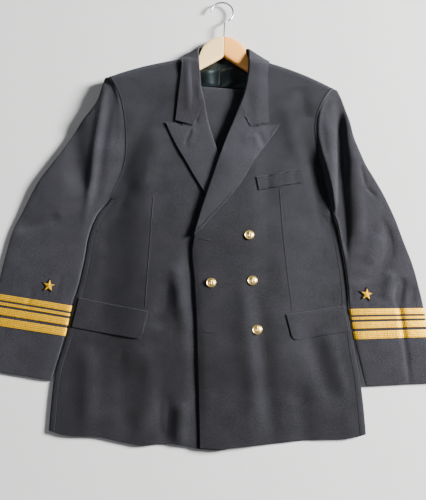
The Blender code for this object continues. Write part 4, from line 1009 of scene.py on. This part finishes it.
def sleeve_height(side, x, y):
    """Height of a sleeve's top at a place, from its nearest points."""
    v, turn = np.meshgrid(np.linspace(12, 14, 61), np.linspace(0.1, 0.9, 61))
    points = sleeve(side, v, turn).reshape(-1, 3)
    nearest = np.argmin((points[:, 0] - x) ** 2 + (points[:, 1] - y) ** 2)
    return float(points[nearest, 2])


def trousers_heights(y):
    """Upper and lower skin of the folded trousers at a height."""
    top = TROUSERS_HIDDEN_Z + (TROUSERS_Z - TROUSERS_HIDDEN_Z) * smooth_step(y, *TROUSERS_SHOW_Y)
    high = top + (BAR_Z + TROUSERS_TURN - top) * smooth_step(y, *TOP_TO_BAR_Y)
    low = TROUSERS_LOW + (BAR_Z - TROUSERS_TURN - TROUSERS_LOW) * smooth_step(y, *UNDER_TO_BAR_Y)
    return high, low


def trousers_half(y):
    """Half the width of the folded leg: narrower at the knee, which lies over the bar."""
    return TROUSERS_HALF - KNEE_IN * smooth_step(y, *KNEE_Y)


def trousers_lean(y):
    """How much the rows of the folded leg slope, as the bar does at its end."""
    return BAR_SLOPE * smooth_step(y, *LEAN_Y)


def trousers_leg_points():
    """The outer layer of the folded trousers: from its lower end up, round the bar, underneath."""
    top_y, under_y = np.linspace(TROUSERS_END_Y, 682, 96), np.linspace(680, 562, 24)
    angle = np.radians(np.linspace(80, -80, 15))
    y = np.concatenate([top_y, BAR_Y + TROUSERS_TURN * np.cos(angle), under_y])[:, None]
    turned = BAR_Z + TROUSERS_TURN * np.sin(angle)
    z = np.concatenate([trousers_heights(top_y)[0], turned, trousers_heights(under_y)[1]])[:, None]
    across = np.linspace(-1, 1, 48)[None, :]
    half = trousers_half(y)
    x = HANGER_MID_X + half * across
    wave = TROUSERS_WAVE * np.sin(x / 17 + y / 60) * hill(y, *TROUSERS_WAVE_Y)
    grid = grid_of(x, y + trousers_lean(y) * half * across, z + wave)
    return rim(grid, ("first column", "last column"), SOFT_EDGE)


def trousers_fold_points():
    """The hidden layers of the folded trousers: one rounded pad with a groove round its edge."""
    ends, swell = TROUSERS_END_Y + column(PAD_RINGS, 0), column(PAD_RINGS, 1)
    flat = [(s, 1) for s in np.linspace(-0.97, 0.97, 14)]
    half_round = [*flat, *PAD_EDGE, *((p, -q) for p, q in PAD_EDGE[-2::-1])]
    profile = np.array(half_round + [(-p, -q) for p, q in half_round])
    high, low = trousers_heights(ends)
    middle, half = (high + low) / 2, (high - low) / 2 - PAD_IN_Z
    wide = trousers_half(ends) - PAD_IN_X
    x = HANGER_MID_X + wide[:, None] * profile[None, :, 0]
    y = ends[:, None] + (trousers_lean(ends) * wide)[:, None] * profile[None, :, 0]
    z = middle[:, None] + (half * swell)[:, None] * profile[None, :, 1]
    return grid_of(x, y, z)


# Materials


FULL_TURN = 6.2832


def feed(tree, socket, value):
    """Gives a socket a number, or links an output to it."""
    if isinstance(value, (int, float)):
        socket.default_value = value
    else:
        tree.links.new(value, socket)


def maths(tree, operation, *values):
    """A maths node's result; each value is a number or an output."""
    node = tree.nodes.new("ShaderNodeMath")
    node.operation = operation
    for socket, value in zip(node.inputs, values):
        feed(tree, socket, value)
    return node.outputs[0]


def noise(tree, place, scale, detail=3.0, rough=0.55):
    """A noise texture's value; scale is a number or an output."""
    node = tree.nodes.new("ShaderNodeTexNoise")
    for label, value in zip(("Vector", "Scale", "Detail", "Roughness"), (place, scale, detail, rough)):
        feed(tree, node.inputs[label], value)
    return node.outputs["Fac"]


def across_and_along(tree, place):
    """The two parts of a place on the cloth."""
    split = tree.nodes.new("ShaderNodeSeparateXYZ")
    tree.links.new(place, split.inputs[0])
    return split.outputs[0], split.outputs[1]


def twill(tree, given):
    """Twill: diagonal ribs crossed by the single threads, worn uneven by noise."""
    across, along = across_and_along(tree, given["Place"])
    per_metre = maths(tree, "DIVIDE", FULL_TURN, given["Thread"])
    half = maths(tree, "MULTIPLY", per_metre, 0.5)
    ribs = maths(tree, "SINE", maths(tree, "MULTIPLY", maths(tree, "ADD", across, along), half))
    warp = maths(tree, "SINE", maths(tree, "MULTIPLY", across, per_metre))
    rough = noise(tree, given["Place"], 330.0, 4.0, 0.7)
    height = maths(tree, "MULTIPLY_ADD", ribs, 0.6, maths(tree, "MULTIPLY", warp, 0.25))
    return (maths(tree, "MULTIPLY_ADD", rough, given["Fuzz"], height),)


def mottle(tree, given):
    """Flecks a few threads across over slow, fainter light and dark patches: 0 to 1."""
    slow = noise(tree, given["Place"], given["Scale"], 3.0, 0.5)
    fine = noise(tree, given["Place"], maths(tree, "MULTIPLY", given["Scale"], 14.0), 2.0)
    spread = tree.nodes.new("ShaderNodeMapRange")
    spread.inputs["From Min"].default_value = 0.41
    spread.inputs["From Max"].default_value = 0.59
    mixed = maths(tree, "MULTIPLY_ADD", slow, 0.3, maths(tree, "MULTIPLY", fine, 0.7))
    tree.links.new(mixed, spread.inputs["Value"])
    return (spread.outputs["Result"],)


def lace_ribs(tree, given):
    """Gold lace: ribs along the band and cross threads that waver a little, -1 to 1."""
    across, along = across_and_along(tree, given["Place"])
    ribs = maths(tree, "SINE", maths(tree, "MULTIPLY", along, 1850.0))
    waver = maths(tree, "MULTIPLY", noise(tree, given["Place"], 160.0, 2.0), 9.0)
    threads = maths(tree, "SINE", maths(tree, "MULTIPLY_ADD", across, 2200.0, waver))
    return (maths(tree, "MULTIPLY_ADD", ribs, 0.5, maths(tree, "MULTIPLY", threads, 0.5)),)


def grain(tree, given):
    """Wood grain: noise drawn out along the arm, 0 to 1, and fine pores as height."""
    stretch = tree.nodes.new("ShaderNodeMapping")
    stretch.inputs["Scale"].default_value = (1.0, 9.0, 4.0)
    tree.links.new(given["Place"], stretch.inputs["Vector"])
    place = stretch.outputs["Vector"]
    return noise(tree, place, 22.0, 5.0, 0.6), noise(tree, place, 190.0, 2.0, 0.5)


# Shared node groups: what fills each one, its values besides the place, and its results.
SHARED = {
    "Wool twill": (twill, {"Thread": 0.0006, "Fuzz": 0.8}, ("Height",)),
    "Mottle": (mottle, {"Scale": 40.0}, ("Patches",)),
    "Lace ribs": (lace_ribs, {}, ("Height",)),
    "Wood grain": (grain, {}, ("Rings", "Pores")),
}


def shared_group(name):
    """The shared node group of a name, made the first time that it is asked for."""
    group = bpy.data.node_groups.get(name)
    if group:
        return group
    fill, values, results = SHARED[name]
    group = bpy.data.node_groups.new(name, "ShaderNodeTree")
    group.interface.new_socket("Place", in_out="INPUT", socket_type="NodeSocketVector")
    for label, value in values.items():
        socket = group.interface.new_socket(label, in_out="INPUT", socket_type="NodeSocketFloat")
        socket.default_value = value
    for label in results:
        group.interface.new_socket(label, in_out="OUTPUT", socket_type="NodeSocketFloat")
    given, result = group.nodes.new("NodeGroupInput"), group.nodes.new("NodeGroupOutput")
    for label, out in zip(results, fill(group, given.outputs)):
        group.links.new(out, result.inputs[label])
    return group


def use_group(tree, name, place, **values):
    """The results of a shared group, used at a place with these values."""
    node = tree.nodes.new("ShaderNodeGroup")
    node.node_tree = shared_group(name)
    tree.links.new(place, node.inputs["Place"])
    for label, value in values.items():
        node.inputs[label].default_value = value
    return node.outputs


def scaled(colour, shares):
    """A colour with each channel multiplied by its share."""
    return tuple(s * c for s, c in zip(shares, colour))


def material_of(context, name):
    """The material of a name, made the first time that it is asked for.

    Its look takes the tree, a place in its coordinates, its colour and what else the table
    gives. It returns the share of light, the dark and the light colour, the values of the
    shader's other sockets and the height, strength and distance of its relief, if it has one.
    """
    material = bpy.data.materials.get(name)
    if material:
        return material
    look, kind, group, label, *more = MATERIALS[name]
    material = bpy.data.materials.new(name)
    material.use_nodes = True
    tree = material.node_tree
    shader = tree.nodes["Principled BSDF"]
    place = tree.nodes.new("ShaderNodeTexCoord").outputs[kind]
    colour = tuple(getattr(getattr(context.scene, group), label))
    share, dark, light, values, *relief = look(tree, place, colour, *more)
    mix = tree.nodes.new("ShaderNodeMix")
    mix.data_type = "RGBA"
    mix.inputs["A"].default_value = (*dark, 1)
    mix.inputs["B"].default_value = (*light, 1)
    tree.links.new(share, mix.inputs["Factor"])
    tree.links.new(mix.outputs["Result"], shader.inputs["Base Color"])
    for socket, value in values.items():
        shader.inputs[socket].default_value = value
    if relief:
        bump = tree.nodes.new("ShaderNodeBump")
        height, bump.inputs["Strength"].default_value, bump.inputs["Distance"].default_value = relief
        tree.links.new(height, bump.inputs["Height"])
        tree.links.new(bump.outputs["Normal"], shader.inputs["Normal"])
    return material


def wool_look(tree, place, colour, painted_light_tone):
    """Fulled twill: near black, matt, with a soft nap that catches the light."""
    # The tone gives lighter and darker copies of the one wool: painted light.
    contrast = 0.75 if painted_light_tone < 1 else 0.5
    light, dark = ((share * painted_light_tone,) * 3 for share in (1 + contrast, 1 - contrast))
    patches = use_group(tree, "Mottle", place, Scale=30.0)["Patches"]
    weave = use_group(tree, "Wool twill", place, Fuzz=1.3)["Height"]
    values = {
        "Roughness": 0.9,
        "Specular IOR Level": 0.18,
        "Sheen Weight": 0.19,
        "Sheen Roughness": 0.55,
        "Sheen Tint": (0.68, 0.72, 0.86, 1),
    }
    return patches, scaled(colour, dark), scaled(colour, light), values, weave, 0.8, 0.0007


def lining_look(tree, place, colour):
    """Bottle-green satin."""
    patches = use_group(tree, "Mottle", place, Scale=60.0)["Patches"]
    weave = use_group(tree, "Wool twill", place, Thread=0.0003)["Height"]
    values = {"Roughness": 0.36, "Specular IOR Level": 0.7, "Specular Tint": (0.82, 0.97, 1.0, 1)}
    return patches, scaled(colour, (0.75,) * 3), colour, values, weave, 0.25, 0.00008


def lace_look(tree, place, colour):
    """Gold wire lace, dulled in patches, with painted shade in the grooves between its ribs and
    threads.
    """
    patches = use_group(tree, "Mottle", place, Scale=150.0)["Patches"]
    ribs = use_group(tree, "Lace ribs", place)["Height"]
    share = maths(tree, "MULTIPLY_ADD", patches, 0.55, 0.25)
    # The ribs darken the colour in their grooves: painted shade.
    share = maths(tree, "MULTIPLY_ADD", ribs, 0.4, share)
    values = {"Metallic": 0.5, "Roughness": 0.5, "Specular IOR Level": 0.1}
    return share, scaled(colour, (0.4, 0.28, 0.12)), colour, values, ribs, 0.8, 0.0003


def gilt_look(tree, place, colour):
    """Polished gilt brass, darker in random patches."""
    patches = use_group(tree, "Mottle", place, Scale=400.0)["Patches"]
    values = {"Metallic": 1.0, "Roughness": 0.36}
    return patches, scaled(colour, (0.8, 0.72, 0.55)), colour, values, patches, 0.15, 0.0001


def wood_look(tree, place, colour):
    """Varnished beech."""
    lines = use_group(tree, "Wood grain", place)
    dark = scaled(colour, (0.86, 0.77, 0.66))
    values = {"Roughness": 0.45, "Specular IOR Level": 0.25, "Coat Weight": 0.08, "Coat Roughness": 0.2}
    return lines["Rings"], dark, colour, values, lines["Pores"], 0.15, 0.0002


def steel_look(tree, place, colour):
    """Plated steel wire, a little scuffed."""
    patches = use_group(tree, "Mottle", place, Scale=120.0)["Patches"]
    values = {"Metallic": 1.0, "Roughness": 0.28}
    return patches, tuple(part - 0.16 for part in colour), colour, values


def floor_look(tree, place, colour):
    """Plain pale paper."""
    patches = use_group(tree, "Mottle", place, Scale=3.0)["Patches"]
    return patches, scaled(colour, (0.985,) * 3), colour, {"Roughness": 0.95}


# Each material's look, its coordinates, the property with its colour and, for wool, how light
# it is. The wool is one cloth, and its tones are painted light: lighter on the sleeves, collar,
# lapels and trousers, darker on the body. Seam shadow is painted shade along the darts, and
# the two beeches are a lit and a shaded copy of one wood.
MATERIALS = {
    "Charcoal wool": (wool_look, "UV", "suit_colours", "wool", 0.74),
    "Sleeve wool": (wool_look, "UV", "suit_colours", "wool", 1.5),
    "Pressed wool": (wool_look, "UV", "suit_colours", "wool", 1.4),
    "Trouser wool": (wool_look, "UV", "suit_colours", "wool", 1.1),
    "Seam shadow": (wool_look, "UV", "suit_colours", "wool", 0.2),
    "Green satin": (lining_look, "UV", "suit_colours", "lining"),
    "Gold lace": (lace_look, "UV", "suit_colours", "lace"),
    "Gilt": (gilt_look, "Object", "suit_colours", "gilt"),
    "Pale beech": (wood_look, "Object", "suit_colours", "pale_wood"),
    "Warm beech": (wood_look, "Object", "suit_colours", "warm_wood"),
    "Plated steel": (steel_look, "Object", "suit_colours", "steel"),
    "Pale paper": (floor_look, "Object", "suit_studio", "floor"),
}


# The add-on


def length_property(name, description, value):
    """A length in metres that the user can change."""
    return FloatProperty(name=name, description=description, default=value, unit="LENGTH")


def colour_property(name, description, value):
    """A colour that the user can change."""
    return FloatVectorProperty(
        name=name, description=description, default=value, subtype="COLOR", size=3, min=0, max=1
    )


class SuitCloth(bpy.types.PropertyGroup):
    """Thickness of the cloth and radii of its turned edges."""

    wool_wall: length_property("Wool", "Thickness of the wool", 0.0012)
    turned_edge: length_property("Turned edge", "Radius of a finished edge", 0.0013)
    seam_edge: length_property("Seam edge", "Radius of the edge at a seam", 0.0007)
    lining_wall: length_property("Lining", "Thickness of the lining", 0.0006)
    lace_wall: length_property("Lace", "Thickness of the gold lace", 0.0009)


class SuitColours(bpy.types.PropertyGroup):
    """Colours of the suit's materials."""

    wool: colour_property("Wool", "Charcoal-black wool", (0.0112, 0.0104, 0.0130))
    lining: colour_property("Lining", "Bottle-green satin", (0.003, 0.007, 0.008))
    lace: colour_property("Lace", "Gold wire lace", (0.84, 0.49, 0.004))
    gilt: colour_property("Gilt", "Gilt buttons", (1.0, 0.76, 0.30))
    # The arms are one beech: the right arm is painted paler, as lit, and the left arm warmer and
    # darker, as shaded.
    pale_wood: colour_property("Pale wood", "Beech of the right arm", (1.0, 0.75, 0.36))
    warm_wood: colour_property("Warm wood", "Beech of the left arm", (1.0, 0.48, 0.12))
    steel: colour_property("Steel", "Plated steel of the hook", (0.66, 0.68, 0.72))


class SuitStudio(bpy.types.PropertyGroup):
    """Lights and floor."""

    key_power: FloatProperty(
        name="Key", description="Power of the large light at the right", default=1020.0, unit="POWER"
    )
    fill_power: FloatProperty(
        name="Fill", description="Power of the soft light above", default=7.0, unit="POWER"
    )
    sky: FloatProperty(name="Surround", description="Brightness of the room", default=0.09)
    lens: FloatProperty(name="Lens", description="Focal length in millimetres", default=43.5)
    floor: colour_property("Floor", "Pale paper floor", (0.66, 0.66, 0.66))


def wool_sizes(context):
    """Wall, turned edge and seam edge of the wool in millimetres."""
    cloth = context.scene.suit_cloth
    return cloth.wool_wall / MM, cloth.turned_edge / MM, cloth.seam_edge / MM


class BodyPanels(bpy.types.Operator):
    """Two fronts, two side panels and two halves of the back"""

    bl_idname = "naval_suit.body_panels"
    bl_label = "Body panels"

    def execute(self, context):
        wool, shadow = material_of(context, "Charcoal wool"), material_of(context, "Seam shadow")
        wall, turned, seam = wool_sizes(context)
        for label, side in SIDES.items():
            points = rim(front_points(side), ("first column", "first row"), turned)
            points = rim(points, ("last column",), seam)
            piece(f"front_{label}", "cloth", points, wool, wall, plan=True)
            points = rim(back_points(side), ("first row below",), turned)
            piece(f"back_{label}", "cloth", points, wool, wall, "down", plan=True)
            points = rim(side_points(side), ("first column",), seam)
            piece(f"side_{label}", "cloth", points, wool, wall, "side")
        for label, line in DARTS.items():
            points = tube_points(dart_path(*line), DART_RADIUS, 8)
            piece(f"dart_{label}", None, points, shadow, wrap=True)
        return {"FINISHED"}


class Sleeves(bpy.types.Operator):
    """Two sleeves, each of a top sleeve and an under sleeve"""

    bl_idname = "naval_suit.sleeves"
    bl_label = "Sleeves"

    def execute(self, context):
        # The sleeves' wool is painted lighter than the body's: painted light.
        wool = material_of(context, "Sleeve wool")
        wall, turned, seam = wool_sizes(context)
        for label, side in SIDES.items():
            points = rim(sleeve_points(side, False), ("last row",), turned)
            points = rim(rim(points, ("last column",), seam), ("first column",), PRESSED_EDGE)
            piece(f"top_sleeve_{label}", "cloth", points, wool, wall)
            points = rim(sleeve_points(side, True), ("last row",), turned)
            piece(f"under_sleeve_{label}", "cloth", points, wool, wall, "down")
        return {"FINISHED"}


class LapelsAndCollar(bpy.types.Operator):
    """Two peak lapels and the collar that joins them round the neck"""

    bl_idname = "naval_suit.lapels_and_collar"
    bl_label = "Lapels and collar"

    def execute(self, context):
        # Lapels and collar are in wool painted lighter than the body's: painted light.
        wool, wall = material_of(context, "Pressed wool"), wool_sizes(context)[0]
        piece("lapel_right", "cloth", lapel_points(-1), wool, wall)
        piece("lapel_left", "cloth", lapel_points(1), wool, wall)
        piece("collar", "cloth", collar_points(), wool, wall, level_above=27.0)
        return {"FINISHED"}


class Pockets(bpy.types.Operator):
    """Two hip pocket flaps and the breast welt"""

    bl_idname = "naval_suit.pockets"
    bl_label = "Pockets"

    def execute(self, context):
        wool = material_of(context, "Charcoal wool")
        wall, turned, _ = wool_sizes(context)
        every = ("first column", "last column", "first row", "last row")
        for node, corners in POCKETS.items():
            surface = front if node == "flap_right" else left_front
            creases, corner = (WELT_FOLDS, 0.0) if node == "breast_welt" else ((), FLAP_CORNER)
            points = patch_points(corners, surface, POCKET_LIFT, (52, 22), creases, corner)
            piece(node, "cloth", rim(points, every, turned), wool, wall, plan=True)
        return {"FINISHED"}


class LaceAndStars(bpy.types.Operator):
    """Four bands of gold lace round each cuff, and a gold star on its dark backing above them"""

    bl_idname = "naval_suit.lace_and_stars"
    bl_label = "Lace and stars"

    def execute(self, context):
        wool, gold = material_of(context, "Charcoal wool"), material_of(context, "Gold lace")
        wall = context.scene.suit_cloth.lace_wall / MM
        turns = np.linspace(-1, 1, 220, endpoint=False)[None, :]
        for label, side in SIDES.items():
            for i, (top, width) in enumerate(LACE):
                rows = top + LACE_TRIM + (width - 2 * LACE_TRIM) * np.linspace(0, 1, 9)
                v = LACE_TOP_STATION + rows / LACE_SPAN
                points = sleeve(side, v[:, None], turns, LACE_OUT)
                for edge in (0, -1):
                    points[edge, :, 2] -= (points[1, :, 2] > 4) * LACE_EDGE_DROP
                node = f"lace_{label}_{i + 1}"
                piece(node, "braid", points, gold, wall, wrap=True)
            x, y = STARS[side]
            steps = (-9, 0, 9)
            low = max(sleeve_height(side, x + dx, y + dy) for dx in steps for dy in steps) + 0.2
            points = star_points(x - 0.8, y + 0.8, STAR_BACKING_RADIUS, low, 0.8, 0.0)
            piece(f"star_backing_{label}", "cloth", points, wool, wrap=True)
            points = star_points(x, y, STAR_RADIUS, low + 0.95, 0.6, 1.7)
            star = piece(f"star_{label}", "gold", points, gold, wrap=True, smooth=False)
            node = f"top_sleeve_{label}"
        return {"FINISHED"}


class Buttons(bpy.types.Operator):
    """Four gilt buttons with a plain anchor"""

    bl_idname = "naval_suit.buttons"
    bl_label = "Buttons"

    def execute(self, context):
        gilt = material_of(context, "Gilt")
        around = np.linspace(-7, 7, 5)
        for node, x, y in BUTTONS:
            seat = float(left_front(x + around[None, :], y + around[:, None]).max()) + 0.3
            piece(node, "gilt", button_points(x, y, seat), gilt, wrap=True)
        return {"FINISHED"}


class Buttonholes(bpy.types.Operator):
    """The worked edges of three buttonholes in the left front"""

    bl_idname = "naval_suit.buttonholes"
    bl_label = "Buttonholes"

    def execute(self, context):
        wool = material_of(context, "Charcoal wool")
        for i, (x, y) in enumerate(BUTTONHOLES):
            points = tube_points(buttonhole_path(x, y), STITCH_RADIUS, 8)
            piece(f"buttonhole_{i + 1}", None, points, wool, wrap=True)
        return {"FINISHED"}


class Lining(bpy.types.Operator):
    """The lining at the back of the neck"""

    bl_idname = "naval_suit.lining"
    bl_label = "Lining"

    def execute(self, context):
        points = patch_points(LINING_CORNERS, back, LINING_LIFT, (90, 50), LINING_FOLDS, 0.0)
        satin = material_of(context, "Green satin")
        wall = context.scene.suit_cloth.lining_wall / MM
        piece("back_lining", "satin", points, satin, wall, plan=True)
        return {"FINISHED"}


class Trousers(bpy.types.Operator):
    """The trousers, folded in half over the hanger's bar"""

    bl_idname = "naval_suit.trousers"
    bl_label = "Trousers"

    def execute(self, context):
        # The trousers' wool is painted lighter than the body's: painted light.
        wool, wall = material_of(context, "Trouser wool"), wool_sizes(context)[0]
        piece("trousers_leg", "cloth", trousers_leg_points(), wool, wall, plan=True)
        pad = piece("trousers_fold", "layers", trousers_fold_points(), wool, wrap=True)
        return {"FINISHED"}


class Hanger(bpy.types.Operator):
    """Two wooden arms, the bar between them and the steel hook"""

    bl_idname = "naval_suit.hanger"
    bl_label = "Hanger"

    def execute(self, context):
        # A lit and a shaded copy of one beech, painted: the right arm paler, the left arm and the bar
        # warmer and darker.
        pale, warm = material_of(context, "Pale beech"), material_of(context, "Warm beech")
        steel = material_of(context, "Plated steel")
        piece("hanger_right", "wood", arm_points(-1), pale, wrap=True)
        piece("hanger_left", "wood", arm_points(1), warm, wrap=True)
        reach = np.linspace(-BAR_HALF, BAR_HALF, 30)
        path = np.stack([HANGER_MID_X + reach, BAR_Y + reach * BAR_SLOPE, 0 * reach + BAR_Z], -1)
        piece("trouser_bar", "wood", tube_points(path, BAR_RADIUS, 32), warm, wrap=True)
        piece("hook", "wire", tube_points(hook_path(), HOOK_WIRE), steel, wrap=True)
        return {"FINISHED"}


class Stage(bpy.types.Operator):
    """Camera, lights and the pale floor"""

    bl_idname = "naval_suit.stage"
    bl_label = "Stage"

    def area_light(self, context, name, power):
        """A round area light that looks at the suit's middle."""
        place, size, tint = LIGHTS[name]
        data = bpy.data.lights.new(name, "AREA")
        data.shape, data.size, data.energy, data.color = "DISK", size, power, tint
        obj = bpy.data.objects.new(name, data)
        obj.location = place
        obj.rotation_euler = (-Vector(place)).to_track_quat("-Z", "Y").to_euler()
        context.scene.collection.objects.link(obj)
        return obj

    def execute(self, context):
        studio = context.scene.suit_studio
        mesh = bpy.data.meshes.new("floor")
        reach, z = FLOOR_REACH, FLOOR_Z
        corners = [(-reach, -reach, z), (reach, -reach, z), (reach, reach, z), (-reach, reach, z)]
        mesh.from_pydata(corners, [], [(0, 1, 2, 3)])
        mesh.materials.append(material_of(context, "Pale paper"))
        floor = bpy.data.objects.new("floor", mesh)
        context.scene.collection.objects.link(floor)
        key = self.area_light(context, "key", studio.key_power)
        fill = self.area_light(context, "fill", studio.fill_power)
        world = bpy.data.worlds.new("room")
        world.use_nodes = True
        light = world.node_tree.nodes["Background"].inputs
        light["Color"].default_value, light["Strength"].default_value = ROOM_TINT, studio.sky
        context.scene.world = world
        lens = bpy.data.cameras.new("camera")
        lens.lens, lens.sensor_width, lens.sensor_fit = studio.lens, 36.0, "AUTO"
        camera = bpy.data.objects.new("camera", lens)
        camera.matrix_world = (
            Matrix.Translation(CAMERA_PLACE)
            @ Matrix.Rotation(math.radians(CAMERA_TILT), 4, "X")
            @ Matrix.Rotation(math.radians(CAMERA_TURN), 4, "Z")
        )
        context.scene.collection.objects.link(camera)
        context.scene.camera = camera
        return {"FINISHED"}


class NavalSuitPanel(bpy.types.Panel):
    """The suit's pieces, in the order that they are made"""

    bl_idname = "VIEW3D_PT_naval_suit"
    bl_label = "Naval Suit"
    bl_space_type = "VIEW_3D"
    bl_region_type = "UI"
    bl_category = "Naval Suit"

    def draw(self, context):
        for name in GROUPS:
            values = getattr(context.scene, name)
            for label in values.__annotations__:
                self.layout.prop(values, label)
        for step in STEPS:
            self.layout.operator(step.bl_idname)


GROUPS = {"suit_cloth": SuitCloth, "suit_colours": SuitColours, "suit_studio": SuitStudio}
STEPS = (
    BodyPanels, Sleeves, LapelsAndCollar, Pockets, LaceAndStars, Buttons, Buttonholes, Lining,
    Trousers, Hanger, Stage,
)


def register():
    """Registers the groups of properties, the operators and the panel."""
    for name, group in GROUPS.items():
        bpy.utils.register_class(group)
        setattr(bpy.types.Scene, name, PointerProperty(type=group))
    for step in (*STEPS, NavalSuitPanel):
        bpy.utils.register_class(step)


def unregister():
    """Removes what register has registered."""
    for step in (NavalSuitPanel, *reversed(STEPS)):
        bpy.utils.unregister_class(step)
    for name, group in GROUPS.items():
        delattr(bpy.types.Scene, name)
        bpy.utils.unregister_class(group)


def main():
    """Makes the suit and its stage."""
    register()
    for step in STEPS:
        getattr(bpy.ops.naval_suit, step.bl_idname.split(".")[1])()


if __name__ == "__main__":
    main()
